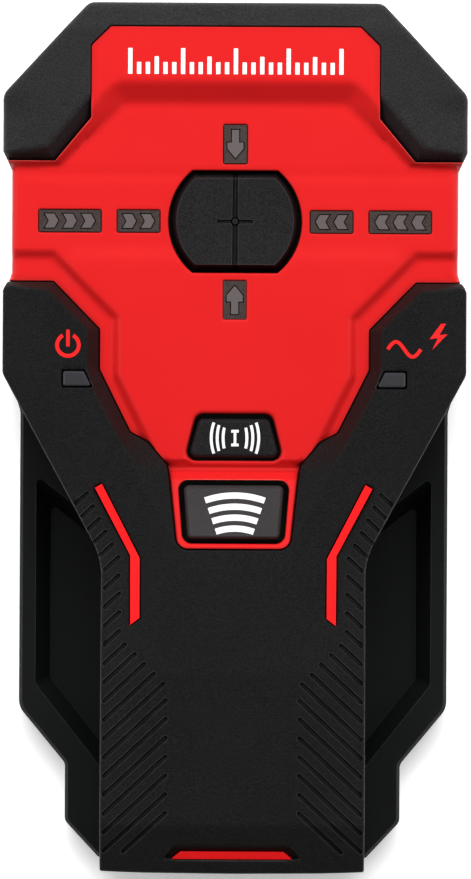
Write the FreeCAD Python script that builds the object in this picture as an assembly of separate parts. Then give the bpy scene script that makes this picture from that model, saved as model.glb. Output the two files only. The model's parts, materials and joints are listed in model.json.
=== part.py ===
# A hand-held stud finder, lying on its sensing face.
#
# The head is a flat slab with a soft bumper round its two front corners. A grip rises from the head as two
# arms that join behind the two push buttons, and it stands over a wider tray-like rear shell, whose open
# troughs on both sides of the grip give the fingers room. A centre-marking button in the head drives a steel
# pin through the sensing face. Six indicator windows with moulded arrows point at that button.
#
# Frame: +Z points out of the face that the user looks at, +Y to the head's front edge, and X across.
# The origin of the drawing is on the centre line, on the surface that the glide pads rest on, and the export
# moves it back a little so that it ends up under the middle of the object's box.
# All sizes are in millimetres.
import FreeCAD, Part
import math
import os

V = FreeCAD.Vector

# ---- Driving dimensions -------------------------------------------------------------------------------

FRONT = 84.75               # front edge of the bumper
BACK = -83.6                # end of the grip
MIDDLE = (FRONT + BACK) / 2
WIDTH = 90.0
SIDE = WIDTH / 2
WAIST = SIDE - 1.7          # half width of the head between the bumper and the arms
GRIP_HALF = 25.55           # half width of the grip behind the arms
WING_HALF = 42.0            # half width of the rear shell beside the grip

PAD_Z = 0.8                 # thickness of the glide pads, so the rear shell starts here
WALL = 2.0                  # housing wall
SKIN = 2.0                  # thickness of the soft over-moulded skins
SPLIT_Z = 9.0               # plane where the front and rear shells meet
FLOOR_Z = PAD_Z + WALL      # inside face of the rear shell's floor
DECK_Z = 24.0               # flat red face of the head
MARGIN_Z = 22.8             # lower red margin beside the arms
BRAND_Z = 27.0              # raised panel at the front edge
BUMPER_Z = 27.5
SHOULDER_Z = BUMPER_Z - 2.2  # front shell under the bumper

# Side profile of the grip's top face, as (y, z) from the arms' front edge back to the grip's end.
GRIP_TOP = [(31.5, 27.5), (14.0, 27.8), (-21.0, 30.5), (-45.0, 34.0), (-74.0, 35.0), (-86.0, 30.6)]

# Side profile of the red face: raised panel, then the step up behind the small button and the button ramp.
RED_TOP = [(90.0, BRAND_Z), (-3.8, BRAND_Z), (-3.9, DECK_Z), (-5.4, 25.3), (-21.2, 30.8), (-30.0, 30.8)]

# ---- Marking button, push buttons, indicators ------------------------------------------------------------

MARKER_Y = 42.3             # centre of the marking button
MARKER_R = 12.9             # radius of its well
MARKER_FLAT = 9.9           # half distance between the well's two flats
MARKER_TOP = 26.0
MARKER_TRAVEL = 3.0
SLEEVE = 1.0                # wall of the well's sleeve
SLEEVE_Z = 18.5             # lower end of the sleeve
PIN_R = 1.0
PIN_TIP_Z = 1.4
BUTTON_TRAVEL = 0.8
BUTTON_GAP = 0.35

MODE_WELL = [(7.3, 5.0), (9.5, -3.95)]            # right half, front to back
SCAN_WELL = [(10.85, -7.8), (9.8, -20.0)]
MODE_CORNER = 1.7           # rounding of the wells' corners
SCAN_CORNER = 1.9
MODE_SWITCH_Y = 0.5
SCAN_SWITCH_Y = -13.6

WINDOW_Y = 42.35
WINDOW_DEEP = 4.25
OUTER_WINDOW = (32.0, 12.0)   # distance from the centre line and length
INNER_WINDOW = (18.7, 8.2)
ARROW_WINDOW = (4.5, 7.5)     # width and length of the two windows in line with the marking button
ARROW_WINDOW_YS = (57.35, 27.15)
CHEVRON_PITCH = 3.55
CHEVRON = (2.6, 2.7, 0.75)    # length, height and depth of the notch

STATUS_LENS = [(29.0, 13.3), (27.45, 10.15), (33.2, 10.15), (33.2, 13.3)]
STRIP = [(25.4, -8.5), (26.8, -9.3), (19.9, -22.3), (19.8, -35.7), (17.95, -34.3), (18.0, -22.8)]
END_BAR = [(9.9, -79.1), (11.8, -80.65)]
END_NOTCH = [(10.9, -76.9), (13.4, -80.7)]

# ---- Boards, battery, fasteners ----------------------------------------------------------------------------

BOARD_Z = 12.0
BOARD_THICK = 1.6
BOARD_TOP = BOARD_Z + BOARD_THICK
SENSOR_BOARD_THICK = 1.0
BATTERY = (26.5, 48.5, 17.5)  # a 9 V block: width, length without its terminals, thickness
BATTERY_Y = -76.6             # its closed end
BATTERY_Z = 3.6
SCREW_PLACES = [(32.0, 71.0), (38.6, 20.0), (19.0, -74.0)]
BOARD_SCREW_PLACES = [(27.0, 60.0), (15.0, -17.0)]
SCREW_R = 1.25
DOOR_HALF = 15.0
DOOR_BACK = -78.8
HINGE_Y = -27.4
HINGE_Z = 1.9
HINGE_R = 1.1
HINGE_HALF = 13.0
HINGE_PIN_R = 0.6


# ---- Helpers -------------------------------------------------------------------------------------------------

# A point of an outline is (x, y), or (x, y, radius) where its corner has a rounding of its own.

def mirrored(half):
    """The closed outline whose right half is listed from front to back."""
    return list(half) + [(-p[0],) + tuple(p[1:]) for p in reversed(half) if p[0] > 0]


def shifted(points, dx, dy):
    return [(p[0] + dx, p[1] + dy) + tuple(p[2:]) for p in points]


def inset(points, distance):
    """The outline moved inward by a distance, or outward if that is negative, with sharp corners."""
    count = len(points)
    area = sum(points[i - 1][0] * points[i][1] - points[i][0] * points[i - 1][1] for i in range(count))
    inward = 1 if area > 0 else -1
    moved = []
    for i in range(count):
        before, here, after = points[i - 1], points[i], points[(i + 1) % count]
        normals = []
        for start, end in ((before, here), (here, after)):
            dx, dy = end[0] - start[0], end[1] - start[1]
            size = math.hypot(dx, dy)
            normals.append((-dy / size * inward, dx / size * inward))
        (ax, ay), (bx, by) = normals
        share = distance / (1 + ax * bx + ay * by)
        moved.append((here[0] + share * (ax + bx), here[1] + share * (ay + by)) + tuple(here[2:]))
    return moved


def outline(points, z, radius=0.0):
    """A closed wire through the points at height z, with its corners rounded to the radius or their own."""
    count = len(points)
    places = [V(p[0], p[1], z) for p in points]
    entries, arcs = [], []
    for i in range(count):
        corner = places[i]
        rounding = points[i][2] if len(points[i]) > 2 else radius
        back = places[i - 1].sub(corner).normalize()
        ahead = places[(i + 1) % count].sub(corner).normalize()
        half = back.getAngle(ahead) / 2
        if rounding <= 0 or half > math.radians(89):
            entries.append((corner, corner))
            arcs.append(None)
            continue
        reach = rounding / math.tan(half)
        centre = corner + (back + ahead).normalize() * (rounding / math.sin(half))
        start, end = corner + back * reach, corner + ahead * reach
        middle = centre + corner.sub(centre).normalize() * rounding
        entries.append((start, end))
        arcs.append(Part.Arc(start, middle, end).toShape())
    edges = []
    for i in range(count):
        if arcs[i]:
            edges.append(arcs[i])
        start, end = entries[i][1], entries[(i + 1) % count][0]
        if start.distanceToPoint(end) > 1e-6:
            edges.append(Part.LineSegment(start, end).toShape())
    return Part.Wire(edges)


def prism(points, low, high, radius=0.0):
    return Part.Face(outline(points, low, radius)).extrude(V(0, 0, high - low))


def taper(low_points, low, high_points, high, radius=0.0):
    """A solid with sloping sides between two outlines with the same corners."""
    wires = [outline(low_points, low, radius), outline(high_points, high, radius)]
    return Part.makeLoft(wires, True, True)


def block(x0, x1, y0, y1, z0, z1):
    return Part.makeBox(x1 - x0, y1 - y0, z1 - z0, V(x0, y0, z0))


def drum(x, y, radius, low, high):
    return Part.makeCylinder(radius, high - low, V(x, y, low))


def cone(x, y, low_radius, low, high_radius, high):
    return Part.makeCone(low_radius, high_radius, high - low, V(x, y, low))


def under(profile, drop=0.0, half=60.0):
    """Everything below a (y, z) side profile lowered by drop, across the object's whole width."""
    low = -10.0
    points = [V(-half, y, z - drop) for y, z in profile]
    points += [V(-half, profile[-1][0], low), V(-half, profile[0][0], low)]
    return Part.Face(Part.makePolygon(points + [points[0]])).extrude(V(2 * half, 0, 0))


def flip(shape):
    """The same shape on the other side of the centre line."""
    return shape.mirror(V(0, 0, 0), V(1, 0, 0))


def pair(shape):
    return [shape, flip(shape)]


def both_sides(places):
    return [(side * x, y) for x, y in places for side in (1, -1)]


def joined(shapes):
    first = shapes[0]
    return first.fuse(shapes[1:]).removeSplitter() if len(shapes) > 1 else first


def height_at(profile, y):
    for (y0, z0), (y1, z1) in zip(profile, profile[1:]):
        if y1 <= y <= y0:
            return z0 + (z1 - z0) * (y - y0) / (y1 - y0)
    raise ValueError(y)


# ---- Outlines in plan ------------------------------------------------------------------------------------------

# The head, arms and grip as seen from above.
BODY = mirrored([(0, FRONT), (28.4, FRONT, 2.6), (SIDE, 66.7, 3.0), (SIDE, 55.7, 0.8), (WAIST, 52.0),
                 (WAIST, 32.2), (SIDE, 28.8, 1.2), (SIDE, 12.7, 3.0), (GRIP_HALF, -22.9, 14.0),
                 (GRIP_HALF, -83.2, 0.5), (17.0, -83.45), (0, BACK)])
# The hard front shell inside the soft skins.
CORE = mirrored([(0, FRONT - SKIN), (27.5, FRONT - SKIN), (WAIST, 65.6), (WAIST, 13.2),
                 (GRIP_HALF - SKIN, -22.4), (GRIP_HALF - 1.9, -81.4), (0, BACK + SKIN)])
CAVITY = inset(CORE, WALL)
# The rear shell: the head's outline, then the wings beside the grip.
REAR = mirrored([(0, 84.2), (28.1, 84.2, 2.4), (44.4, 66.5, 2.6), (44.4, 55.9, 0.8), (42.7, 52.2, 0.8),
                 (42.7, 31.8, 0.8), (44.4, 28.6, 1.0), (44.4, 13.0, 3.0), (WING_HALF, 5.5, 3.0),
                 (WING_HALF, -52.6, 4.0), (32.9, -63.6, 2.0), (32.9, -74.9, 2.0), (26.4, -81.9, 1.0),
                 (24.6, -82.7, 0.8), (0, -83.2)])
TROUGH = [(38.8, -7.0, 0.8), (38.8, -48.0, 2.0), (20.0, -71.7), (20.0, -22.0)]
# The red face between the bumper's inner edge and the arms' inner edges.
RED_FACE = mirrored([(0, 80.0), (24.2, 80.0), (28.0, 76.3), (28.0, 62.3), (34.9, 54.0), (WAIST, 54.0),
                     (WAIST, 30.6), (35.2, 30.6), (26.2, 21.4), (26.2, 13.6), (20.1, 1.4), (16.6, -0.4),
                     (12.9, -4.9), (12.6, -6.6), (10.9, -21.1, 2.4)])
# The flat deck's front edge, at the deck's height and up on the raised panel.
DECK_FOOT = mirrored([(21.4, 65.2), (33.9, 53.0), (60.0, 52.0), (60.0, -90.0)])
DECK_RIM = mirrored([(23.6, 69.6), (36.3, 57.0), (60.0, 54.5), (60.0, -90.0)])
PLATEAU = mirrored([(0, 100.0), (60.0, 100.0), (60.0, 37.0), (34.8, 37.0), (21.9, 24.0), (21.9, 12.5),
                    (15.0, -1.5), (15.0, -40.0)])


def rounded_bar(x, y, radius, flat):
    """A round outline cut by two flats, as a prism would need it: two straight edges and two arcs."""
    reach = math.sqrt(radius * radius - flat * flat)

    def wire(z):
        corners = [V(x - reach, y + flat, z), V(x + reach, y + flat, z), V(x + reach, y - flat, z),
                   V(x - reach, y - flat, z)]
        right, left = V(x + radius, y, z), V(x - radius, y, z)
        return Part.Wire([Part.LineSegment(corners[0], corners[1]).toShape(),
                          Part.Arc(corners[1], right, corners[2]).toShape(),
                          Part.LineSegment(corners[2], corners[3]).toShape(),
                          Part.Arc(corners[3], left, corners[0]).toShape()])
    return wire


def marker_plug(grow, low, high):
    """The marking button's plan, grown by a margin, between two heights."""
    wire = rounded_bar(0, MARKER_Y, MARKER_R + grow, MARKER_FLAT + grow)(low)
    return Part.Face(wire).extrude(V(0, 0, high - low))


def windows():
    """Name, centre and (across, along) size of each indicator window, and which way its arrows point."""
    found = []
    for side, word in ((-1, "left"), (1, "right")):
        for (x, length), place, arrows in ((OUTER_WINDOW, "outer", 3), (INNER_WINDOW, "inner", 2)):
            found.append((f"{word}_{place}", side * x, WINDOW_Y, length, WINDOW_DEEP, arrows, -side))
    for y, word, aim in ((ARROW_WINDOW_YS[0], "front", -1), (ARROW_WINDOW_YS[1], "back", 1)):
        found.append((word, 0.0, y, ARROW_WINDOW[0], ARROW_WINDOW[1], 1, aim))
    return found


def window_outline(window, margin=0.0):
    _, x, y, wide, deep, _, _ = window
    return shifted([(-wide / 2 + margin, -deep / 2 + margin), (wide / 2 - margin, -deep / 2 + margin),
                    (wide / 2 - margin, deep / 2 - margin), (-wide / 2 + margin, deep / 2 - margin)], x, y)


def arrow_outlines(window, grow=0.0):
    """The moulded arrows of a window: chevrons in a row, or one tailed arrow."""
    _, x, y, wide, deep, arrows, aim = window
    if arrows > 1:
        length, height, notch = CHEVRON
        body = length - notch
        shape = [(-length / 2, height / 2), (-length / 2 + body, height / 2), (length / 2, 0),
                 (-length / 2 + body, -height / 2), (-length / 2, -height / 2), (-length / 2 + notch, 0)]
        first = -CHEVRON_PITCH * (arrows - 1) / 2
        return [shifted([(px * aim, py) for px, py in inset(shape, -grow)], x + first + i * CHEVRON_PITCH, y)
                for i in range(arrows)]
    stem, head, reach, neck = 0.7, 1.55, 2.75, 0.3
    shape = [(-stem, -reach), (stem, -reach), (stem, -neck), (head, -neck), (head, neck + 0.6), (0, reach),
             (-head, neck + 0.6), (-head, -neck), (-stem, -neck)]
    return [shifted([(px, py * aim) for px, py in inset(shape, -grow)], x, y)]


# ---- Housing -------------------------------------------------------------------------------------------------------

def rear_shell():
    bottom_edge, top_edge = 0.9, 0.6
    waist = prism(REAR, PAD_Z + bottom_edge, SPLIT_Z - top_edge)
    foot = taper(inset(REAR, bottom_edge), PAD_Z, REAR, PAD_Z + bottom_edge)
    rim = taper(REAR, SPLIT_Z - top_edge, inset(REAR, top_edge), SPLIT_Z)
    body = joined([waist, foot, rim])
    trough = taper(inset(TROUGH, 2.7), FLOOR_Z, TROUGH, SPLIT_Z + 0.01)
    body = body.cut(pair(trough))
    body = body.fuse(prism(CORE, PAD_Z, SPLIT_Z))
    body = body.cut(prism(CAVITY, FLOOR_Z, SPLIT_Z + 1))
    additions = []
    for x, y in both_sides(SCREW_PLACES):
        additions.append(drum(x, y, 3.2, PAD_Z, SPLIT_Z))
    for x, y in both_sides(BOARD_SCREW_PLACES):
        additions.append(drum(x, y, 2.6, FLOOR_Z, BOARD_Z))
    additions.append(drum(0, MARKER_Y, 4.2, PAD_Z, 7.0))
    additions += pair(block(15.6, 16.8, -70.0, -30.0, FLOOR_Z, 14.0))
    additions += pair(block(13.3, 15.6, -29.0, -25.4, PAD_Z, 4.0))
    additions += pair(block(33.0, 34.2, 26.0, 52.0, FLOOR_Z, 6.0).cut(block(33, 34.2, 36, 42, 0, 9)))
    body = body.fuse(additions)
    cuts = [block(-15.4, 15.4, -79.2, -29.0, 0, FLOOR_Z + 0.5), block(-13.3, 13.3, -29.0, -26.0, 0, 5)]
    cuts += pair(Part.makeCylinder(HINGE_PIN_R + 0.05, 1.7, V(13.2, HINGE_Y, HINGE_Z), V(1, 0, 0)))
    for x, y in both_sides(SCREW_PLACES):
        cuts += [drum(x, y, 2.7, 0, 4.5), drum(x, y, 1.5, 0, 20)]
    for x, y in both_sides(BOARD_SCREW_PLACES):
        cuts.append(drum(x, y, 0.92, 6, 20))
    cuts.append(drum(0, MARKER_Y, 3.0, 2.0, 10))
    cuts.append(cone(0, MARKER_Y, 2.6, 0.5, 1.6, 2.5))
    cuts.append(block(-21, 21, -9.2, 14.8, 0, PAD_Z + 0.25))
    return body.cut(cuts)


def red_outer():
    """The front shell's outside, before it is hollowed."""
    face = prism(RED_FACE, SPLIT_Z, 40).common(under(RED_TOP))
    hollow = taper(DECK_FOOT, DECK_Z, DECK_RIM, BRAND_Z).fuse(prism(DECK_RIM, BRAND_Z, 40))
    face = face.cut(hollow.common(block(-60, 60, -3.85, 90, DECK_Z, 40)))
    step = prism(inset(PLATEAU, -2.1), MARGIN_Z, 40).fuse(block(-60, 60, -90, 90, 0, MARGIN_Z))
    slope = taper(inset(PLATEAU, -2.1), MARGIN_Z, PLATEAU, DECK_Z)
    step = step.cut(block(-60, 60, -3.0, 90, MARGIN_Z, DECK_Z + 0.5).cut(slope))
    face = face.common(step)
    low = prism(CORE, SPLIT_Z, 21.0)
    shoulder = prism(CORE, SPLIT_Z, SHOULDER_Z).common(block(-60, 60, 54.0, 90, 0, 40))
    shoulder = shoulder.cut(prism(RED_FACE, SPLIT_Z, 40))
    spine = prism(CORE, SPLIT_Z, 40).common(under(GRIP_TOP, SKIN)).cut(block(-60, 60, 30.6, 90, 0, 40))
    spine = spine.cut(prism(RED_FACE, SPLIT_Z, 40))
    return joined([low, face, shoulder, spine])


def front_shell():
    body = red_outer()
    roof = [(90, SHOULDER_Z - WALL), (52.0, SHOULDER_Z - WALL), (51.9, DECK_Z - WALL), (31, DECK_Z - WALL),
            (30.9, MARGIN_Z - WALL), (-5.0, MARGIN_Z - WALL), (-24.0, 26.0), (-45.0, 30.0), (-74.0, 31.0),
            (-86.0, 27.0)]
    body = body.cut(prism(CAVITY, SPLIT_Z - 1, 40).common(under(roof)))
    sleeve = marker_plug(SLEEVE, SLEEVE_Z, DECK_Z)
    additions = [sleeve]
    tops = {71.0: 24.0, 20.0: 21.0, -74.0: 31.5}
    for x, y in both_sides(SCREW_PLACES):
        additions.append(drum(x, y, 3.0, SPLIT_Z, tops[y]))
    well_wall = 1.1
    for well, high in ((MODE_WELL, DECK_Z - 1.0), (SCAN_WELL, 25.0)):
        additions.append(prism(inset(mirrored(well), -well_wall), 18.5, high))
    body = body.fuse(additions)
    cuts = [marker_plug(0, 10, 40), prism(mirrored(MODE_WELL), 10, 40, MODE_CORNER),
            prism(mirrored(SCAN_WELL), 10, 40, SCAN_CORNER)]
    cuts += [prism(window_outline(w), 15, 40) for w in windows()]
    cuts += pair(prism(STATUS_LENS, 10, 40))
    cuts += [drum(x, y, SCREW_R + 0.02, 0, 19.5) for x, y in both_sides(SCREW_PLACES)]
    return body.cut(cuts)


def top_bumper():
    """The soft guard round the head's front corners."""
    body = prism(BODY, SPLIT_Z, BUMPER_Z).cut(block(-60, 60, -90, 52.0, 0, 40))
    body = body.cut(prism([(-60, 52), (60, 52), (60, 54), (-60, 54)], DECK_Z, 40))
    body = body.cut(red_outer()).cut(prism(RED_FACE, SPLIT_Z, 40))
    foot, rise, run = 24.3, BUMPER_Z - 24.3, 2.1
    for side in (1, -1):
        for start, end in (((28.0, 62.3), (34.9, 54.0)), ((34.9, 54.0), (60.0, 54.0))):
            body = body.cut(bevel_wedge(start, end, foot, rise, run, side))
    return body


def bevel_wedge(start, end, foot, rise, run, side):
    """What a bevel takes off above an edge whose foot runs from start to end; the slope rises to its left."""
    dx, dy = end[0] - start[0], end[1] - start[1]
    size = math.hypot(dx, dy)
    ux, uy = dx / size, dy / size
    nx, ny = -uy, ux
    reach = 4.0
    start = (start[0] - ux * reach, start[1] - uy * reach)
    corners = [V(start[0] - nx * 3, start[1] - ny * 3, foot), V(start[0], start[1], foot),
               V(start[0] + nx * run, start[1] + ny * run, foot + rise),
               V(start[0] + nx * run, start[1] + ny * run, foot + rise + 5),
               V(start[0] - nx * 3, start[1] - ny * 3, foot + rise + 5)]
    wedge = Part.Face(Part.makePolygon(corners + [corners[0]])).extrude(V(ux, uy, 0) * (size + 2 * reach))
    return wedge if side > 0 else flip(wedge)


def grip_skin():
    """The soft over-moulded grip: two arms that join into the handle."""
    body = prism(BODY, SPLIT_Z, 45).common(under(GRIP_TOP)).cut(block(-60, 60, 30.6, 90, 0, 50))
    body = body.cut(prism(RED_FACE, SPLIT_Z, 50)).cut(red_outer())
    foot, run = 23.0, 2.4
    for side in (1, -1):
        for start, end in (((60.0, 30.6), (35.2, 30.6)), ((35.2, 30.6), (26.2, 21.4)),
                           ((26.2, 21.4), (26.2, 13.6)), ((26.2, 13.6), (20.1, 1.4))):
            body = body.cut(bevel_wedge(start, end, foot, 4.8, run, side))
        body = body.cut(side_facet(side))
    body = body.cut([prism(s, 10, 50) for s in (STRIP, [(-x, y) for x, y in STRIP])])
    body = body.cut(prism(mirrored(END_BAR), 10, 50))
    lift = 1.2
    notch = prism(mirrored(END_NOTCH), 10, 50).cut(under(GRIP_TOP, lift))
    body = body.cut(notch)
    return body.cut(pair(prism(STATUS_LENS, 10, 50)))


def side_facet(side):
    """What the sloping outer faces of the arms and the handle take off."""
    drop, above = 2.2, 8.0
    sections = [(31.5, 35.8, SIDE), (12.7, 35.8, SIDE), (-5.8, 26.2, 34.8), (-22.9, 20.3, GRIP_HALF),
                (-45.0, 20.3, GRIP_HALF), (-74.0, 20.3, GRIP_HALF), (-86.0, 20.3, GRIP_HALF)]
    wires = []
    for y, crease, edge in sections:
        z = height_at(GRIP_TOP, y)
        beyond = edge + 1.0
        low = z - drop * (beyond - crease) / (edge - crease)
        points = [V(crease, y, z), V(beyond, y, low), V(beyond, y, z + above), V(crease, y, z + above)]
        wires.append(Part.makePolygon(points + [points[0]]))
    shape = Part.makeLoft(wires, True, True)
    return shape if side > 0 else flip(shape)


def inlay(points, proud, deep):
    """A coloured inlay that follows the grip's top face, standing proud of it and let into it."""
    body = prism(inset(points, 0.04), 10, 50).common(under(GRIP_TOP, -proud))
    return body.cut(under(GRIP_TOP, deep))


def status_lens():
    """A clear bar that carries the light of one status LED up through the right arm."""
    body = prism(inset(STATUS_LENS, 0.06), BOARD_TOP + 1.1, 45, 0.4)
    return body.common(under(GRIP_TOP, -0.15))


# ---- Marking button -----------------------------------------------------------------------------------------------

def marker_cap():
    gap = 0.45
    low, ring = SLEEVE_Z - 1.5, SLEEVE_Z - 0.2
    body = marker_plug(-gap, ring - 0.5, MARKER_TOP - 1.2)
    top = Part.makeLoft([rounded_bar(0, MARKER_Y, MARKER_R - gap, MARKER_FLAT - gap)(MARKER_TOP - 1.2),
                         rounded_bar(0, MARKER_Y, MARKER_R - gap - 1.3, MARKER_FLAT - gap - 1.1)(MARKER_TOP)],
                        True, True)
    flange = marker_plug(0.45, low, ring)
    body = body.fuse([top, flange])
    body = body.cut(marker_plug(-gap - 1.6, 10, MARKER_TOP - 2.6))
    body = body.fuse(drum(0, MARKER_Y, 2.6, 18.5, MARKER_TOP - 2.0))
    body = body.cut(drum(0, MARKER_Y, PIN_R, 10, 23.0))
    cross = [block(-0.25, 0.25, MARKER_Y - 20, MARKER_Y + 20, MARKER_TOP - 0.5, 40),
             block(-3.5, 3.5, MARKER_Y - 0.2, MARKER_Y + 0.2, MARKER_TOP - 0.4, 40)]
    return body.cut(cross)


def marker_pin():
    point = cone(0, MARKER_Y, 0.12, PIN_TIP_Z, PIN_R, PIN_TIP_Z + 2.6)
    shaft = drum(0, MARKER_Y, PIN_R, PIN_TIP_Z + 2.6, 23.0)
    groove = drum(0, MARKER_Y, PIN_R + 1, 16.2, 16.8).cut(drum(0, MARKER_Y, PIN_R - 0.25, 16, 17))
    return point.fuse(shaft).removeSplitter().cut(groove)


def marker_clip():
    """The split ring in the pin's groove that holds up the spring's upper end."""
    ring = drum(0, MARKER_Y, 2.6, 16.25, 16.75).cut(drum(0, MARKER_Y, PIN_R - 0.24, 16, 17))
    return ring.cut(block(-0.6, 0.6, MARKER_Y, MARKER_Y + 4, 16, 17))


def marker_guide():
    """The plain bush in the sensing face that the pin slides in."""
    body = drum(0, MARKER_Y, 2.98, 2.02, 9.0).fuse(drum(0, MARKER_Y, 4.0, 7.02, 8.2))
    return body.cut(drum(0, MARKER_Y, PIN_R + 0.05, 0, 20))


def marker_spring():
    """The return spring: a coil of eight-sided wire, which keeps its faces few."""
    radius, wire, low, high, turns, sides = 1.95, 0.22, 9.25, 15.95, 6.0, 8
    pitch = (high - low) / turns
    ring = []
    for i in range(sides):
        angle = 2 * math.pi * i / sides
        ring.append(V(radius + wire * math.cos(angle), 0, wire * math.sin(angle)))
    profile = Part.makePolygon(ring + [ring[0]])
    path = Part.Wire(Part.makeHelix(pitch, high - low, radius))
    coil = path.makePipeShell([profile], True, True)
    coil.translate(V(0, MARKER_Y, low))
    return coil


# ---- Push buttons --------------------------------------------------------------------------------------------------

def push_button(well, profile, proud, switch_y, well_radius):
    """A button cap that fills its well with a small gap, with a flange below and a post over its switch."""
    rim = inset(mirrored(well), BUTTON_GAP)
    body = prism(rim, 17.9, 40, well_radius - BUTTON_GAP).common(under(profile, -proud))
    body = body.fuse(prism(inset(rim, -0.9), 16.6, 17.9, 0.6))
    hollow = prism(inset(rim, 1.4), 10, 40).common(under(profile, 2.0 - proud))
    body = body.cut(hollow)
    post = drum(0, switch_y, 1.6, 18.0, 40).common(under(profile, 0.5))
    return body.fuse(post)


def mode_button():
    return push_button(MODE_WELL, [(90, DECK_Z), (-90, DECK_Z)], 0.9, MODE_SWITCH_Y, MODE_CORNER)


def scan_button():
    ramp = [(0.0, 27.2), (-5.4, 25.3), (-21.2, 30.8), (-30.0, 33.9)]
    return push_button(SCAN_WELL, ramp, 0.5, SCAN_SWITCH_Y, SCAN_CORNER)


def switch_body(y):
    """A square tactile switch on the board, open round its plunger."""
    half = 2.3
    body = block(-half, half, y - half, y + half, BOARD_TOP, BOARD_TOP + 3.0)
    return body.cut(drum(0, y, 1.75, BOARD_TOP + 1.2, BOARD_TOP + 4))


def switch_plunger(y):
    """The plunger between the switch's dome and the button's post."""
    return drum(0, y, 1.6, BOARD_TOP + 2.4, 18.0)


# ---- Electronics ---------------------------------------------------------------------------------------------------

BOARD = mirrored([(0, 64.0), (30.0, 64.0), (38.0, 56.0), (38.0, 27.0), (33.4, 22.4), (33.4, 9.5),
                  (18.0, -18.0), (18.0, -20.4)])


def main_board():
    body = prism(BOARD, BOARD_Z, BOARD_TOP)
    holes = [drum(x, y, 1.2, 0, 40) for x, y in both_sides(BOARD_SCREW_PLACES)]
    return body.cut(holes + [drum(0, MARKER_Y, 4.0, 0, 40)])


def sensor_board():
    body = block(-32.0, 32.0, 26.0, 66.0, FLOOR_Z, FLOOR_Z + SENSOR_BOARD_THICK)
    holes = [drum(x, y, 3.0, 0, 40) for x, y in both_sides(BOARD_SCREW_PLACES[:1])]
    return body.cut(holes + [drum(0, MARKER_Y, 4.5, 0, 40)])


def sensor_electrodes():
    """Copper plates that sense a change of density behind the wall."""
    top = FLOOR_Z + SENSOR_BOARD_THICK
    return Part.makeCompound([block(*sorted((side * x0, side * x1)), 29.0, 56.0, top, top + 0.15)
                              for side in (-1, 1) for x0, x1 in ((14.0, 21.5), (23.0, 30.5))])


def metal_coil():
    top = FLOOR_Z + SENSOR_BOARD_THICK
    return drum(0, MARKER_Y, 12.0, top, top + 1.5).cut(drum(0, MARKER_Y, 9.0, 0, 20))


def board_header():
    """The pin header that joins the two boards."""
    return block(-8.0, 8.0, 58.8, 61.3, FLOOR_Z + SENSOR_BOARD_THICK, BOARD_Z)


def chip():
    return block(-24.0, -17.0, 5.5, 12.5, BOARD_TOP, BOARD_TOP + 1.2)


def board_parts():
    """The larger passive parts: two capacitors, an inductor and a crystal."""
    return Part.makeCompound([drum(-13.0, 12.0, 2.5, BOARD_TOP, BOARD_TOP + 5.0),
                              drum(-13.0, 18.0, 2.0, BOARD_TOP, BOARD_TOP + 4.0),
                              block(9.0, 13.0, 14.0, 18.0, BOARD_TOP, BOARD_TOP + 2.4),
                              block(-26.5, -24.6, 14.0, 18.5, BOARD_TOP, BOARD_TOP + 1.5)])


def buzzer():
    body = drum(20.0, 8.5, 5.5, BOARD_TOP, BOARD_TOP + 3.5)
    return body.cut(drum(20.0, 8.5, 0.8, BOARD_TOP + 2.5, 30))


def indicator_leds():
    """One small LED on the board under each arrow."""
    lamps = []
    for window in windows():
        for points in arrow_outlines(window):
            x = sum(p[0] for p in points) / len(points)
            y = sum(p[1] for p in points) / len(points)
            lamps.append(block(x - 0.8, x + 0.8, y - 0.6, y + 0.6, BOARD_TOP, BOARD_TOP + 0.8))
    return Part.makeCompound(lamps)


def status_leds():
    return Part.makeCompound(pair(block(29.9, 31.5, 11.2, 12.4, BOARD_TOP, BOARD_TOP + 0.8)))


def window_bezel(window):
    body = prism(window_outline(window, 0.05), DECK_Z - 2.4, DECK_Z + 0.12)
    return body.cut([prism(points, 10, 40) for points in arrow_outlines(window, 0.2)])


def light_guide(window):
    base = prism(window_outline(window, 0.05), DECK_Z - 4.0, DECK_Z - 2.4)
    return base.fuse([prism(points, DECK_Z - 2.5, DECK_Z + 0.3) for points in arrow_outlines(window)])


# ---- Battery ----------------------------------------------------------------------------------------------------------

def battery():
    wide, long, thick = BATTERY
    corner = 2.0
    points = [(-wide / 2, BATTERY_Z), (wide / 2, BATTERY_Z), (wide / 2, BATTERY_Z + thick),
              (-wide / 2, BATTERY_Z + thick)]
    body = prism(points, 0, long, corner)
    body.rotate(V(0, 0, 0), V(1, 0, 0), 90)
    body.translate(V(0, BATTERY_Y + long, 0))
    return body


def battery_ends():
    """The small round and the larger hexagonal snap terminal."""
    y = BATTERY_Y + BATTERY[1]
    z = BATTERY_Z + BATTERY[2] / 2
    stud = Part.makeCylinder(2.9, 2.4, V(-6.4, y, z), V(0, 1, 0))
    ring = [(6.4 + 4.0 * math.cos(math.radians(a)), z + 4.0 * math.sin(math.radians(a)))
            for a in range(0, 360, 60)]
    socket = Part.makePolygon([V(px, y, pz) for px, pz in ring + ring[:1]])
    socket = Part.Face(socket).extrude(V(0, 2.4, 0))
    socket = socket.cut(Part.makeCylinder(2.6, 2.0, V(6.4, y + 0.6, z), V(0, 1, 0)))
    return Part.makeCompound([stud, socket])


def battery_snap():
    """The moulded clip with its leads' strain relief that snaps on the terminals."""
    y = BATTERY_Y + BATTERY[1] + 0.1
    z = BATTERY_Z + BATTERY[2] / 2
    body = block(-12.4, 12.4, y, y + 3.6, z - 5.5, z + 5.5)
    wells = [Part.makeCylinder(3.0, 2.5, V(-6.4, y - 0.1, z), V(0, 1, 0)),
             Part.makeCylinder(4.1, 2.5, V(6.4, y - 0.1, z), V(0, 1, 0))]
    return body.cut(wells)


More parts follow.
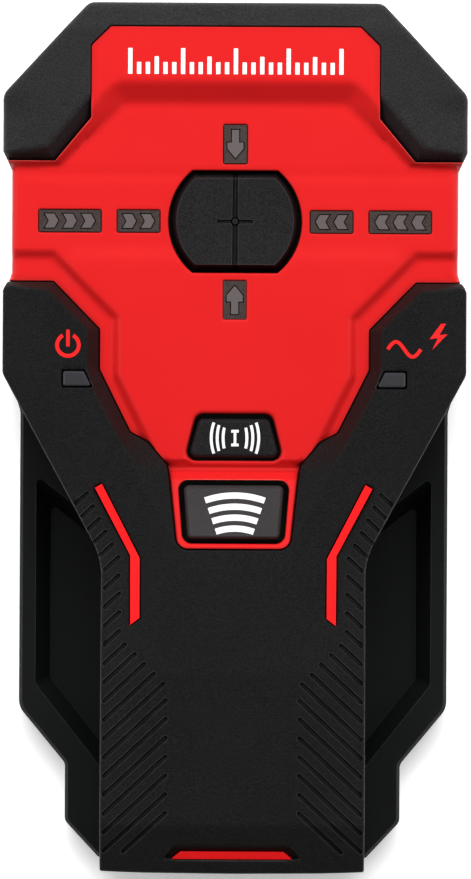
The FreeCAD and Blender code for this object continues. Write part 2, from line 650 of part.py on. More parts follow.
def lead(side):
    """One insulated lead from the battery snap up to the board."""
    y = BATTERY_Y + BATTERY[1] + 3.7
    z = BATTERY_Z + BATTERY[2] / 2
    x = side * 11.5
    radius, bend = 0.65, 2.0
    corner_y = -18.4
    run = Part.LineSegment(V(x, y, z + 3.4), V(x, corner_y - bend, z + 3.4)).toShape()
    arc = Part.Arc(V(x, corner_y - bend, z + 3.4),
                   V(x, corner_y - bend + bend * math.sin(math.pi / 4),
                     z + 3.4 - bend + bend * math.cos(math.pi / 4)),
                   V(x, corner_y, z + 3.4 - bend)).toShape()
    path = [run, arc]
    if z + 3.4 - bend > BOARD_TOP:
        path.append(Part.LineSegment(V(x, corner_y, z + 3.4 - bend), V(x, corner_y, BOARD_TOP)).toShape())
    profile = Part.Wire(Part.makeCircle(radius, V(x, y, z + 3.4), V(0, 1, 0)))
    return Part.Wire(path).makePipeShell([profile], True, False)


def battery_door():
    wide = block(-DOOR_HALF, DOOR_HALF, DOOR_BACK, -29.6, PAD_Z, PAD_Z + 1.6)
    neck = block(-HINGE_HALF, HINGE_HALF, -29.8, HINGE_Y, PAD_Z, PAD_Z + 1.6)
    barrel = Part.makeCylinder(HINGE_R, 2 * HINGE_HALF, V(-HINGE_HALF, HINGE_Y, HINGE_Z), V(1, 0, 0))
    pin = Part.makeCylinder(HINGE_PIN_R, 2 * 14.6, V(-14.6, HINGE_Y, HINGE_Z), V(1, 0, 0))
    nose = block(-4.0, 4.0, DOOR_BACK - 0.25, DOOR_BACK, 1.2, 2.2)
    ribs = [block(-12.0, 12.0, y, y + 1.0, PAD_Z + 1.6, PAD_Z + 2.4) for y in (-76.5, -31.5)]
    body = joined([wide, neck, barrel, pin, nose] + ribs)
    grooves = [block(-5.0, 5.0, y, y + 0.8, PAD_Z - 1, PAD_Z + 0.5) for y in (-76.8, -75.0, -73.2, -71.4)]
    return body.cut(grooves)


def battery_pad():
    return block(-9.0, 9.0, -70.0, -38.0, PAD_Z + 1.6, BATTERY_Z - 0.3)


# ---- Fasteners, pads, label ---------------------------------------------------------------------------------------------

def housing_screws():
    screws = []
    for x, y in both_sides(SCREW_PLACES):
        screw = drum(x, y, SCREW_R, 4.4, 19.0).fuse(drum(x, y, 2.5, 2.9, 4.5))
        for angle in (0, 90):
            slot = block(-1.5, 1.5, -0.35, 0.35, 2.0, 3.9)
            slot.rotate(V(0, 0, 0), V(0, 0, 1), angle)
            slot.translate(V(x, y, 0))
            screw = screw.cut(slot)
        screws.append(screw)
    return Part.makeCompound(screws)


def board_screws():
    return Part.makeCompound([drum(x, y, 0.9, 6.5, BOARD_TOP + 0.1).fuse(drum(x, y, 1.9, BOARD_TOP,
                                                                              BOARD_TOP + 1.2))
                              for x, y in both_sides(BOARD_SCREW_PLACES)])


def glide_pads():
    """Slippery felt pads that the tool slides over the wall on."""
    front = prism(shifted(mirrored([(8.0, 2.5), (8.0, -2.5)]), 17.0, 78.0), 0, PAD_Z, 2.4)
    wing = prism(shifted(mirrored([(2.5, 11.0), (2.5, -11.0)]), 34.5, -38.0), 0, PAD_Z, 2.4)
    return Part.makeCompound(pair(front) + pair(wing))


def rear_label():
    return prism(mirrored([(20.8, 14.6), (20.8, -9.0)]), PAD_Z + 0.03, PAD_Z + 0.25, 1.5)


# ---- Export ---------------------------------------------------------------------------------------------------------------

def parts():
    found = {
        "rear_shell": rear_shell(), "front_shell": front_shell(), "top_bumper": top_bumper(),
        "grip_skin": grip_skin(),
        "right_accent_strip": inlay(STRIP, 0.1, 1.7),
        "left_accent_strip": flip(inlay(STRIP, 0.1, 1.7)),
        "end_accent_bar": inlay(mirrored(END_BAR), -0.7, 1.7),
        "alert_lens": status_lens(), "power_lens": flip(status_lens()),
        "marker_cap": marker_cap(), "marker_pin": marker_pin(), "marker_clip": marker_clip(),
        "marker_guide": marker_guide(), "marker_spring": marker_spring(),
        "mode_button": mode_button(), "scan_button": scan_button(),
        "mode_switch": switch_body(MODE_SWITCH_Y), "scan_switch": switch_body(SCAN_SWITCH_Y),
        "mode_plunger": switch_plunger(MODE_SWITCH_Y), "scan_plunger": switch_plunger(SCAN_SWITCH_Y),
        "main_board": main_board(), "sensor_board": sensor_board(),
        "sensor_electrodes": sensor_electrodes(), "metal_coil": metal_coil(),
        "board_header": board_header(), "microcontroller": chip(), "board_parts": board_parts(),
        "buzzer": buzzer(), "indicator_leds": indicator_leds(), "status_leds": status_leds(),
        "battery": battery(), "battery_terminals": battery_ends(), "battery_snap": battery_snap(),
        "positive_lead": lead(1), "negative_lead": lead(-1),
        "battery_door": battery_door(), "battery_pad": battery_pad(),
        "housing_screws": housing_screws(), "board_screws": board_screws(),
        "glide_pads": glide_pads(), "rear_label": rear_label(),
    }
    for window in windows():
        found[window[0] + "_bezel"] = window_bezel(window)
        found[window[0] + "_light_guide"] = light_guide(window)
    return found


def main():
    os.makedirs("parts", exist_ok=True)
    for node, shape in parts().items():
        shape.translate(V(0, -MIDDLE, 0))
        solids = shape.Solids
        good = shape.isValid() and solids and all(s.Volume > 0 for s in solids)
        print(f"{node:22s} solids {len(solids)} volume {shape.Volume:10.2f} {'ok' if good else 'BAD'}")
        shape.exportStep(f"parts/{node}.step")


if __name__ == "__main__":
    main()
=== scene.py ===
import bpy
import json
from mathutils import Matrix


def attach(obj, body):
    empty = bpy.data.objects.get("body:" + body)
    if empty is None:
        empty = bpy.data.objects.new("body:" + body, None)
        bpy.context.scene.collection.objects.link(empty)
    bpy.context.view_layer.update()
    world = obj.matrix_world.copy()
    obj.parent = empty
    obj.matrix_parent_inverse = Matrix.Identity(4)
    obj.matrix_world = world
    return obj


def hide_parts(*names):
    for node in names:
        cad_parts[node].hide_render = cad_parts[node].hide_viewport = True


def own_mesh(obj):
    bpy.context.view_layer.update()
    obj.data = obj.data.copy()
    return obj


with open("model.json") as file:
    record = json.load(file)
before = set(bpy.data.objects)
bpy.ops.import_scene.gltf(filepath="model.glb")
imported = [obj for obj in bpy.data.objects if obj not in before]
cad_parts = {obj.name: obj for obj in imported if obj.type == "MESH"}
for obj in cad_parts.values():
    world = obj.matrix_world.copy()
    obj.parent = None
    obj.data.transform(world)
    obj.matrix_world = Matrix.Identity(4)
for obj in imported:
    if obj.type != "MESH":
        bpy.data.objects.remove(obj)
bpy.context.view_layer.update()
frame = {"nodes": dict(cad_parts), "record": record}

import json
import math

import bpy
import numpy as np
from mathutils import Vector
from mathutils.geometry import delaunay_2d_cdt
from mathutils.kdtree import KDTree

nodes = frame["nodes"]
mm = 0.001          # every measure below is in millimetres until a mesh is made

# ---------- shared plan shapes ----------
# A corner is (x, y) or (x, y, rounding). The right half is listed from front to back and then mirrored.

plan = {
    "seam": 0.09,        # half of the hairline between two skins
    "shift": -0.575,     # from the drawing's y to the frame's y
    "front": 84.75,
    "back": -83.6,
}
bumperSeam = [(0, 80.0), (24.2, 80.0, 0.6), (28.0, 76.3, 0.9), (28.0, 62.3, 0.4), (34.9, 54.0, 0.3)]
armSeam = [(35.2, 30.6, 0.3), (26.2, 21.4, 0.4), (26.2, 13.6, 0.6), (20.1, 1.4, 1.5), (16.6, -0.4, 1.2),
           (12.9, -4.9, 0.6), (12.6, -6.6), (10.9, -21.1, 2.4)]


def mirrorPlan(half):
    return list(half) + [(-p[0],) + tuple(p[1:]) for p in reversed(half) if p[0] > 0]


def unit(v):
    return v / np.linalg.norm(v)


def traceLoop(corners, spacing=0.7):
    # dense closed loop: arcs at rounded corners, evenly split straight runs between them
    stops = []
    count = len(corners)
    for i, corner in enumerate(corners):
        here = np.array(corner[:2], float)
        back = unit(np.array(corners[i - 1][:2], float) - here)
        ahead = unit(np.array(corners[(i + 1) % count][:2], float) - here)
        rounding = corner[2] if len(corner) > 2 else 0.0
        half = math.acos(np.clip(back @ ahead, -1, 1)) / 2
        if rounding <= 0 or half > 1.55:
            stops.append([here])
            continue
        reach = rounding / math.tan(half)
        centre = here + unit(back + ahead) * rounding / math.sin(half)
        arm = here + back * reach - centre
        turn = math.copysign(math.pi - 2 * half, -(back[0] * ahead[1] - back[1] * ahead[0]))
        steps = max(3, math.ceil(abs(turn) * rounding / (spacing * 0.4)))
        arc = []
        for k in range(steps + 1):
            a = turn * k / steps
            arc.append(centre + np.array([arm[0] * math.cos(a) - arm[1] * math.sin(a),
                                          arm[0] * math.sin(a) + arm[1] * math.cos(a)]))
        stops.append(arc)
    loop = []
    for i, arc in enumerate(stops):
        loop += arc
        start, end = arc[-1], stops[(i + 1) % count][0]
        pieces = max(1, round(np.linalg.norm(end - start) / spacing))
        loop += [start + (end - start) * k / pieces for k in range(1, pieces)]
    return np.array(loop)


def loopArea(loop):
    x, y = loop[:, 0], loop[:, 1]
    return 0.5 * float(np.sum(x * np.roll(y, -1) - np.roll(x, -1) * y))


def insetLoop(loop, distance):
    # every point moves inward along its own normal (outward if the distance is negative)
    ahead = np.roll(loop, -1, 0) - loop
    ahead /= np.linalg.norm(ahead, axis=1)[:, None]
    behind = np.roll(ahead, 1, 0)
    sign = 1.0 if loopArea(loop) > 0 else -1.0
    normalA = np.stack([-ahead[:, 1], ahead[:, 0]], 1) * sign
    normalB = np.stack([-behind[:, 1], behind[:, 0]], 1) * sign
    share = 1 + np.sum(normalA * normalB, 1)
    return loop + distance * (normalA + normalB) / np.maximum(share, 0.5)[:, None]


def offsetLine(line, distance):
    # an open line moved sideways, to its left if the distance is positive
    line = np.asarray(line, float)
    ahead = np.diff(line, axis=0)
    ahead /= np.linalg.norm(ahead, axis=1)[:, None]
    normal = np.stack([-ahead[:, 1], ahead[:, 0]], 1)
    first, last = np.vstack([normal[:1], normal]), np.vstack([normal, normal[-1:]])
    share = 1 + np.sum(first * last, 1)
    return line + distance * (first + last) / share[:, None]


def insideLoop(points, loop):
    x, y = points[:, 0], points[:, 1]
    inside = np.zeros(len(points), bool)
    for (x0, y0), (x1, y1) in zip(loop, np.roll(loop, -1, 0)):
        crosses = (y0 > y) != (y1 > y)
        if y1 != y0:
            inside ^= crosses & (x < (x1 - x0) * (y - y0) / (y1 - y0) + x0)
    return inside


def denseLine(line, spacing):
    dense = [line[0]]
    for start, end in zip(line[:-1], line[1:]):
        pieces = max(1, round(math.dist(start, end) / spacing))
        dense += [(start[0] + (end[0] - start[0]) * k / pieces, start[1] + (end[1] - start[1]) * k / pieces)
                  for k in range(1, pieces + 1)]
    return dense


def clipLine(line, loop, margin=0.03):
    # the part of a straight line that lies inside a loop
    start, end = np.array(line[0], float), np.array(line[1], float)
    t = np.linspace(0, 1, 400)
    points = start + (end - start) * t[:, None]
    inside = np.nonzero(insideLoop(points, insetLoop(loop, margin)))[0]
    return points[inside[0]:inside[-1] + 1:6]


def flipLoop(loop):
    return loop[::-1] * (-1, 1)


def lineDistance(x, y, line):
    # shortest distance from each (x, y) to an open line of points
    best = np.full(np.shape(x), 1e9)
    line = np.asarray(line, float)
    for (x0, y0), (x1, y1) in zip(line[:-1], line[1:]):
        dx, dy = x1 - x0, y1 - y0
        size = dx * dx + dy * dy
        if size < 1e-12:
            continue
        t = np.clip(((x - x0) * dx + (y - y0) * dy) / size, 0, 1)
        best = np.minimum(best, np.hypot(x - x0 - t * dx, y - y0 - t * dy))
    return best


def loopDistance(x, y, loop):
    return lineDistance(x, y, np.vstack([loop, loop[:1]]))


def along(value, pairs):
    # straight-line interpolation through (value, result) pairs in any order
    pairs = sorted(pairs)
    return np.interp(value, [p[0] for p in pairs], [p[1] for p in pairs])


def softMin(a, b, k):
    h = np.clip(0.5 + 0.5 * (b - a) / k, 0, 1)
    return b * (1 - h) + a * h - k * h * (1 - h)


def softMax(a, b, k):
    return -softMin(-a, -b, k)


def softStep(t):
    t = np.clip(t, 0, 1)
    return t * t * (3 - 2 * t)


def edgeRound(distance, radius):
    # how far a quarter-round edge lies below the flat, at a distance in from the edge
    d = np.clip(distance, 0, radius)
    return radius - np.sqrt(np.maximum(radius * radius - (radius - d) ** 2, 0))


def roundSteps(radius, steps=5):
    return [radius * (1 - math.cos(math.pi / 2 * k / steps)) for k in range(1, steps + 1)]


# ---------- making a moulded skin ----------

def mouldSkin(name, outline, top, bottom, holes=(), guides=(), lines=(), grid=1.0):
    # a closed shell over a plan: top and bottom sheets share one triangulation, with walls between them
    points, edges = [], []

    def addPath(path, closed):
        first = len(points)
        points.extend(path.tolist())
        count = len(path)
        edges.extend((first + i, first + (i + 1) % count) for i in range(count if closed else count - 1))

    addPath(outline, True)
    for loop in list(holes) + list(guides):
        addPath(loop, True)
    for line in lines:
        addPath(np.asarray(line, float), False)
    tree = KDTree(len(points))
    for i, p in enumerate(points):
        tree.insert((p[0], p[1], 0), i)
    tree.balance()
    low, high = outline.min(0), outline.max(0)
    rows = np.arange(low[1], high[1], grid * 0.866)
    lattice = []
    for r, y in enumerate(rows):
        xs = np.arange(low[0] + (r % 2) * grid / 2, high[0], grid)
        lattice.append(np.stack([xs, np.full(len(xs), y)], 1))
    lattice = np.vstack(lattice)
    lattice = lattice[insideLoop(lattice, outline)]
    for p in lattice.tolist():
        if tree.find((p[0], p[1], 0))[2] > 0.45 * grid:
            points.append(p)
    flat, _, faces, _, _, _ = delaunay_2d_cdt([Vector(p) for p in points], edges, [], 0, 1e-5)
    flat = np.array([tuple(v) for v in flat])
    tris = np.array([f for f in faces if len(f) == 3])
    a, b, c = flat[tris[:, 0]], flat[tris[:, 1]], flat[tris[:, 2]]
    centres = (a + b + c) / 3
    areas = (b[:, 0] - a[:, 0]) * (c[:, 1] - a[:, 1]) - (b[:, 1] - a[:, 1]) * (c[:, 0] - a[:, 0])
    keep = insideLoop(centres, outline) & (np.abs(areas) > 1e-9)
    for loop in holes:
        keep &= ~insideLoop(centres, loop)
    tris, areas = tris[keep], areas[keep]
    tris = np.where(areas[:, None] > 0, tris, tris[:, ::-1])
    used = np.unique(tris)
    remap = np.full(len(flat), -1)
    remap[used] = np.arange(len(used))
    tris, flat = remap[tris], flat[used]
    x, y = flat[:, 0], flat[:, 1]
    upper = top(x, y)
    lower = np.minimum(bottom(x, y), upper - 0.05)
    count = len(flat)
    sides = {}
    for t in tris:
        for i in range(3):
            sides[(t[i], t[(i + 1) % 3])] = True
    walls = [(u, u + count, v + count, v) for u, v in sides if (v, u) not in sides]
    placed = y + plan["shift"]
    vertices = np.vstack([np.column_stack([x, placed, upper]), np.column_stack([x, placed, lower])]) * mm
    mesh = bpy.data.meshes.new(name)
    mesh.from_pydata(vertices.tolist(), [],
                     tris.tolist() + (tris[:, ::-1] + count).tolist() + [tuple(w) for w in walls])
    return finishMesh(name, mesh)


def finishMesh(name, mesh, sharp=52):
    mesh.validate()
    mesh.polygons.foreach_set("use_smooth", [True] * len(mesh.polygons))
    mesh.set_sharp_from_angle(angle=math.radians(sharp))
    mesh.update()
    piece = bpy.data.objects.new(name, mesh)
    bpy.context.scene.collection.objects.link(piece)
    return piece


def settle(piece, body, slot, material, *replaced):
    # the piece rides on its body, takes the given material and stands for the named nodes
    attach(piece, body)
    piece.data.materials.clear()
    piece.data.materials.append(material)
    if replaced:
        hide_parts(*replaced)
    return piece


# ---------- shader groups ----------

def newGroup(name, inputs, outputs):
    group = bpy.data.node_groups.new(name, "ShaderNodeTree")
    for label, kind, value in inputs:
        socket = group.interface.new_socket(name=label, in_out="INPUT", socket_type=kind)
        socket.default_value = value
    for label, kind in outputs:
        group.interface.new_socket(name=label, in_out="OUTPUT", socket_type=kind)
    return group, group.nodes.new("NodeGroupInput"), group.nodes.new("NodeGroupOutput")


def mathNode(tree, operation, a, b=None):
    node = tree.nodes.new("ShaderNodeMath")
    node.operation = operation
    for socket, value in zip(node.inputs, (a, b)):
        if value is None:
            continue
        if hasattr(value, "links"):
            tree.links.new(value, socket)
        else:
            socket.default_value = value
    return node.outputs[0]


def noiseNode(tree, vector, scale, detail=3.0, roughness=0.55):
    node = tree.nodes.new("ShaderNodeTexNoise")
    node.inputs["Detail"].default_value = detail
    node.inputs["Roughness"].default_value = roughness
    tree.links.new(vector, node.inputs["Vector"])
    if hasattr(scale, "links"):
        tree.links.new(scale, node.inputs["Scale"])
    else:
        node.inputs["Scale"].default_value = scale
    return node.outputs["Fac"]


def grainGroup():
    # pebbled moulding grain: rounded cells broken up by noise
    group, start, end = newGroup("mouldingGrain",
                                 [("Cell Scale", "NodeSocketFloat", 4000.0),
                                  ("Noise Share", "NodeSocketFloat", 0.4)],
                                 [("Height", "NodeSocketFloat")])
    place = group.nodes.new("ShaderNodeTexCoord").outputs["Object"]
    cells = group.nodes.new("ShaderNodeTexVoronoi")
    cells.feature = "SMOOTH_F1"
    cells.inputs["Smoothness"].default_value = 0.6
    group.links.new(place, cells.inputs["Vector"])
    group.links.new(start.outputs["Cell Scale"], cells.inputs["Scale"])
    bumps = mathNode(group, "SUBTRACT", 1.0, cells.outputs["Distance"])
    fine = noiseNode(group, place, mathNode(group, "MULTIPLY", start.outputs["Cell Scale"], 0.7), 4.0)
    share = mathNode(group, "MULTIPLY", fine, start.outputs["Noise Share"])
    group.links.new(mathNode(group, "ADD", bumps, share), end.inputs["Height"])
    return group


def toneGroup():
    # slow colour drift over the surface, with a finer fleck on top
    group, start, end = newGroup("toneDrift",
                                 [("Base", "NodeSocketColor", (0.1, 0.1, 0.1, 1)),
                                  ("Drift", "NodeSocketColor", (0.2, 0.2, 0.2, 1)),
                                  ("Drift Scale", "NodeSocketFloat", 60.0),
                                  ("Fleck Scale", "NodeSocketFloat", 3500.0),
                                  ("Fleck Share", "NodeSocketFloat", 0.3)],
                                 [("Color", "NodeSocketColor")])
    place = group.nodes.new("ShaderNodeTexCoord").outputs["Object"]
    drift = noiseNode(group, place, start.outputs["Drift Scale"], 3.0)
    fleck = noiseNode(group, place, start.outputs["Fleck Scale"], 2.0)
    centred = mathNode(group, "SUBTRACT", fleck, 0.5)
    scaled = mathNode(group, "MULTIPLY", centred, start.outputs["Fleck Share"])
    factor = mathNode(group, "ADD", drift, mathNode(group, "MULTIPLY", scaled, 3.0))
    mix = group.nodes.new("ShaderNodeMix")
    mix.data_type = "RGBA"
    mix.clamp_factor = True
    group.links.new(factor, mix.inputs["Factor"])
    group.links.new(start.outputs["Base"], mix.inputs[6])
    group.links.new(start.outputs["Drift"], mix.inputs[7])
    group.links.new(mix.outputs[2], end.inputs["Color"])
    return group


def edgeHighlightGroup():
    # painted highlight: a lighter, patchy colour laid where the surface turns sharply, standing in for light
    # caught on rounded edges
    group, start, end = newGroup("paintedEdgeHighlight",
                                 [("Color", "NodeSocketColor", (0.1, 0.1, 0.1, 1)),
                                  ("Highlight", "NodeSocketColor", (0.3, 0.3, 0.3, 1)),
                                  ("Strength", "NodeSocketFloat", 1.0),
                                  ("Openness", "NodeSocketFloat", 1.0)],
                                 [("Color", "NodeSocketColor")])
    shape = group.nodes.new("ShaderNodeNewGeometry")
    rounded = group.nodes.new("ShaderNodeBevel")
    rounded.samples = 6
    rounded.inputs["Radius"].default_value = 0.0004
    turn = group.nodes.new("ShaderNodeVectorMath")
    turn.operation = "DOT_PRODUCT"
    group.links.new(rounded.outputs["Normal"], turn.inputs[0])
    group.links.new(shape.outputs["Normal"], turn.inputs[1])
    bend = mathNode(group, "SUBTRACT", 1.0, turn.outputs["Value"])
    bend = mathNode(group, "MULTIPLY", bend, start.outputs["Openness"])
    patchy = noiseNode(group, group.nodes.new("ShaderNodeTexCoord").outputs["Object"], 260.0, 4.0)
    mask = mathNode(group, "MULTIPLY", mathNode(group, "MULTIPLY", bend, 5.0), patchy)
    mask = mathNode(group, "MINIMUM", mathNode(group, "MULTIPLY", mask, start.outputs["Strength"]), 1.0)
    # the painted highlight is mixed over the colour here
    mix = group.nodes.new("ShaderNodeMix")
    mix.data_type = "RGBA"
    group.links.new(mask, mix.inputs["Factor"])
    group.links.new(start.outputs["Color"], mix.inputs[6])
    group.links.new(start.outputs["Highlight"], mix.inputs[7])
    group.links.new(mix.outputs[2], end.inputs["Color"])
    return group


def paintedShadeGroup():
    # painted shade: the colour is darkened towards near-black in narrow grooves and gaps, where less light
    # reaches; Openness is 1 on open faces and 0 deep in a groove
    group, start, end = newGroup("paintedCreviceShade",
                                 [("Color", "NodeSocketColor", (0.1, 0.1, 0.1, 1)),
                                  ("Depth", "NodeSocketFloat", 0.8), ("Reach", "NodeSocketFloat", 0.0008)],
                                 [("Color", "NodeSocketColor"), ("Openness", "NodeSocketFloat")])
    shelter = group.nodes.new("ShaderNodeAmbientOcclusion")
    shelter.samples = 6
    group.links.new(start.outputs["Reach"], shelter.inputs["Distance"])
    ramp = group.nodes.new("ShaderNodeMapRange")
    ramp.inputs["From Min"].default_value = 0.45
    ramp.inputs["From Max"].default_value = 0.92
    group.links.new(shelter.outputs["AO"], ramp.inputs["Value"])
    lost = mathNode(group, "SUBTRACT", 1.0, ramp.outputs["Result"])
    factor = mathNode(group, "MULTIPLY", lost, start.outputs["Depth"])
    mix = group.nodes.new("ShaderNodeMix")
    mix.data_type = "RGBA"
    group.links.new(factor, mix.inputs["Factor"])
    group.links.new(start.outputs["Color"], mix.inputs[6])
    # the near-black that the painted shade mixes in
    mix.inputs[7].default_value = (0.002, 0.002, 0.002, 1)
    group.links.new(mix.outputs[2], end.inputs["Color"])
    group.links.new(ramp.outputs["Result"], end.inputs["Openness"])
    return group


def sheenGroup():
    # uneven roughness: handling marks over the moulded gloss
    group, start, end = newGroup("glossDrift",
                                 [("Low", "NodeSocketFloat", 0.4), ("High", "NodeSocketFloat", 0.5),
                                  ("Scale", "NodeSocketFloat", 90.0)],
                                 [("Roughness", "NodeSocketFloat")])
    place = group.nodes.new("ShaderNodeTexCoord").outputs["Object"]
    drift = noiseNode(group, place, start.outputs["Scale"], 5.0, 0.6)
    spread = mathNode(group, "SUBTRACT", start.outputs["High"], start.outputs["Low"])
    value = mathNode(group, "ADD", start.outputs["Low"], mathNode(group, "MULTIPLY", drift, spread))
    group.links.new(value, end.inputs["Roughness"])
    return group


groups = {"grain": grainGroup(), "tone": toneGroup(), "edgeHighlight": edgeHighlightGroup(), "paintedShade": paintedShadeGroup(),
          "sheen": sheenGroup()}


def shade(hexColour):
    # linear colour from the usual six-digit notation
    parts = [int(hexColour[i:i + 2], 16) / 255 for i in (0, 2, 4)]
    return tuple(p / 12.92 if p <= 0.04045 else ((p + 0.055) / 1.055) ** 2.4 for p in parts) + (1.0,)


def makeMaterial(name, look):
    material = bpy.data.materials.new(name)
    material.use_nodes = True
    tree = material.node_tree
    shader = tree.nodes["Principled BSDF"]

    def place(kind):
        node = tree.nodes.new("ShaderNodeGroup")
        node.node_tree = groups[kind]
        return node

    tone = place("tone")
    tone.inputs["Base"].default_value = shade(look["colour"])
    tone.inputs["Drift"].default_value = shade(look["drift"])
    tone.inputs["Drift Scale"].default_value = look.get("driftScale", 60.0)
    tone.inputs["Fleck Scale"].default_value = look.get("fleckScale", 3500.0)
    tone.inputs["Fleck Share"].default_value = look.get("fleck", 0.3)
    colour = tone.outputs["Color"]
    if "highlightColour" in look:
        # painted highlight on sharp edges, kept out of grooves
        edgeHighlight = place("edgeHighlight")
        edgeHighlight.inputs["Highlight"].default_value = shade(look["highlightColour"])
        edgeHighlight.inputs["Strength"].default_value = look.get("edgeHighlight", 1.0)
        # painted shade in grooves and gaps
        paintedShade = place("paintedShade")
        paintedShade.inputs["Depth"].default_value = look.get("paintedShade", 0.8)
        paintedShade.inputs["Reach"].default_value = look.get("reach", 0.8) * mm
        tree.links.new(colour, paintedShade.inputs["Color"])
        tree.links.new(paintedShade.outputs["Openness"], edgeHighlight.inputs["Openness"])
        tree.links.new(paintedShade.outputs["Color"], edgeHighlight.inputs["Color"])
        colour = edgeHighlight.outputs["Color"]
    tree.links.new(colour, shader.inputs["Base Color"])
    sheen = place("sheen")
    sheen.inputs["Low"].default_value, sheen.inputs["High"].default_value = look["roughness"]
    sheen.inputs["Scale"].default_value = look.get("sheenScale", 90.0)
    tree.links.new(sheen.outputs["Roughness"], shader.inputs["Roughness"])
    if look.get("grainDepth", 0) > 0:
        grain = place("grain")
        grain.inputs["Cell Scale"].default_value = look.get("grainScale", 4000.0)
        grain.inputs["Noise Share"].default_value = look.get("grainNoise", 0.4)
        bump = tree.nodes.new("ShaderNodeBump")
        bump.inputs["Distance"].default_value = look["grainDepth"] * mm
        bump.inputs["Strength"].default_value = look.get("grainStrength", 0.6)
        tree.links.new(grain.outputs["Height"], bump.inputs["Height"])
        tree.links.new(bump.outputs["Normal"], shader.inputs["Normal"])
    shader.inputs["Specular IOR Level"].default_value = look.get("specular", 0.5)
    shader.inputs["Metallic"].default_value = look.get("metal", 0.0)
    shader.inputs["Coat Weight"].default_value = look.get("coat", 0.0)
    return material


# in these looks, depth and reach set the painted shade in grooves and gaps
looks = {
    # the edge colour and its strength set the painted highlight on sharp edges
    "redPlastic": {"colour": "c71b1c", "drift": "c2191a", "roughness": (0.36, 0.46), "grainDepth": 0.012,
                   "grainScale": 2600.0, "fleck": 0.1, "specular": 0.3, "highlightColour": "e2605a", "edgeHighlight": 1.2,
                   "paintedShade": 0.75, "reach": 1.5},
    "bumperRubber": {"colour": "1f1e1f", "drift": "2b2a2b", "roughness": (0.5, 0.62), "grainDepth": 0.12,
                     "grainScale": 3000.0, "fleck": 2.4, "specular": 0.25, "highlightColour": "77777a", "edgeHighlight": 0.6},
    "gripRubber": {"colour": "111111", "drift": "1a1a1a", "roughness": (0.48, 0.6), "grainDepth": 0.1,
                   "grainScale": 3400.0, "fleck": 2.4, "specular": 0.15, "highlightColour": "8a8c8e", "edgeHighlight": 0.2,
                   "paintedShade": 1.0, "reach": 1.0},
    "basePlastic": {"colour": "101211", "drift": "151716", "roughness": (0.42, 0.55), "grainDepth": 0.03,
                    "grainScale": 3200.0, "fleck": 0.4, "specular": 0.25, "highlightColour": "55575a", "edgeHighlight": 0.4},
    "redInlay": {"colour": "de1a1c", "drift": "d41618", "roughness": (0.34, 0.42), "grainDepth": 0.01,
                 "fleck": 0.1, "specular": 0.3},
    "buttonBlack": {"colour": "171617", "drift": "232223", "roughness": (0.4, 0.5), "grainDepth": 0.06,
                    "grainScale": 5200.0, "fleck": 1.4, "specular": 0.16, "highlightColour": "5b5b60", "edgeHighlight": 0.4,
                    "paintedShade": 1.0, "reach": 3.0},
    "buttonGrey": {"colour": "2b2829", "drift": "343132", "roughness": (0.38, 0.46), "grainDepth": 0.03,
                   "grainScale": 4200.0, "fleck": 1.0, "specular": 0.35, "highlightColour": "77767a", "edgeHighlight": 0.3},
    "windowPlastic": {"colour": "322a28", "drift": "403735", "roughness": (0.5, 0.62), "grainDepth": 0.07,
                      "grainScale": 3600.0, "fleck": 1.0, "fleckScale": 2600.0, "specular": 0.3},
    "arrowPlastic": {"colour": "544d4d", "drift": "5b5454", "roughness": (0.34, 0.44), "grainDepth": 0.015,
                     "fleck": 0.4, "fleckScale": 5000.0, "specular": 0.4},
    "smokeLens": {"colour": "2a2a2d", "drift": "323235", "roughness": (0.2, 0.28), "fleck": 0.1,
                  "specular": 0.5},
    "steel": {"colour": "a9abad", "drift": "bdbfc0", "roughness": (0.22, 0.38), "metal": 1.0, "fleck": 0.2,
              "grainDepth": 0.008},
    "nylon": {"colour": "c8c6be", "drift": "bcb9b0", "roughness": (0.4, 0.5), "fleck": 0.1},
    "circuitBoard": {"colour": "0b4d26", "drift": "084220", "roughness": (0.25, 0.35), "fleck": 0.2,
                     "grainDepth": 0.01, "coat": 0.3},
    "copper": {"colour": "c9885a", "drift": "b9774b", "roughness": (0.25, 0.4), "metal": 1.0, "fleck": 0.2},
    "epoxy": {"colour": "171719", "drift": "1f1f21", "roughness": (0.5, 0.6), "fleck": 0.4, "grainDepth": 0.02},
    "ledBody": {"colour": "d4d1c4", "drift": "c9c5b3", "roughness": (0.3, 0.4), "fleck": 0.1},
    "batteryCase": {"colour": "5c6a78", "drift": "4b5865", "roughness": (0.28, 0.4), "metal": 0.6, "fleck": 0.2,
                    "grainDepth": 0.01},
    "leadRed": {"colour": "a81618", "drift": "951214", "roughness": (0.4, 0.5), "fleck": 0.1},
    "leadBlack": {"colour": "101011", "drift": "171718", "roughness": (0.4, 0.5), "fleck": 0.1},
    "foam": {"colour": "232426", "drift": "2d2e31", "roughness": (0.85, 0.95), "fleck": 1.0, "fleckScale": 1800.0,
             "grainDepth": 0.2, "grainScale": 1500.0},
    "felt": {"colour": "242527", "drift": "303134", "roughness": (0.8, 0.92), "fleck": 1.0, "fleckScale": 2400.0,
             "grainDepth": 0.12, "grainScale": 2200.0, "grainNoise": 1.0},
    "label": {"colour": "a5a6a8", "drift": "999a9c", "roughness": (0.32, 0.42), "fleck": 0.2, "grainDepth": 0.006},
    "whiteInk": {"colour": "e2e2e0", "drift": "dadad8", "roughness": (0.4, 0.5), "fleck": 0.2,
                 "grainDepth": 0.01},
    "redInk": {"colour": "dc2222", "drift": "d01c1c", "roughness": (0.42, 0.52), "fleck": 0.2,
               "grainDepth": 0.01, "specular": 0.3},
}
materials = {name: makeMaterial(name, look) for name, look in looks.items()}

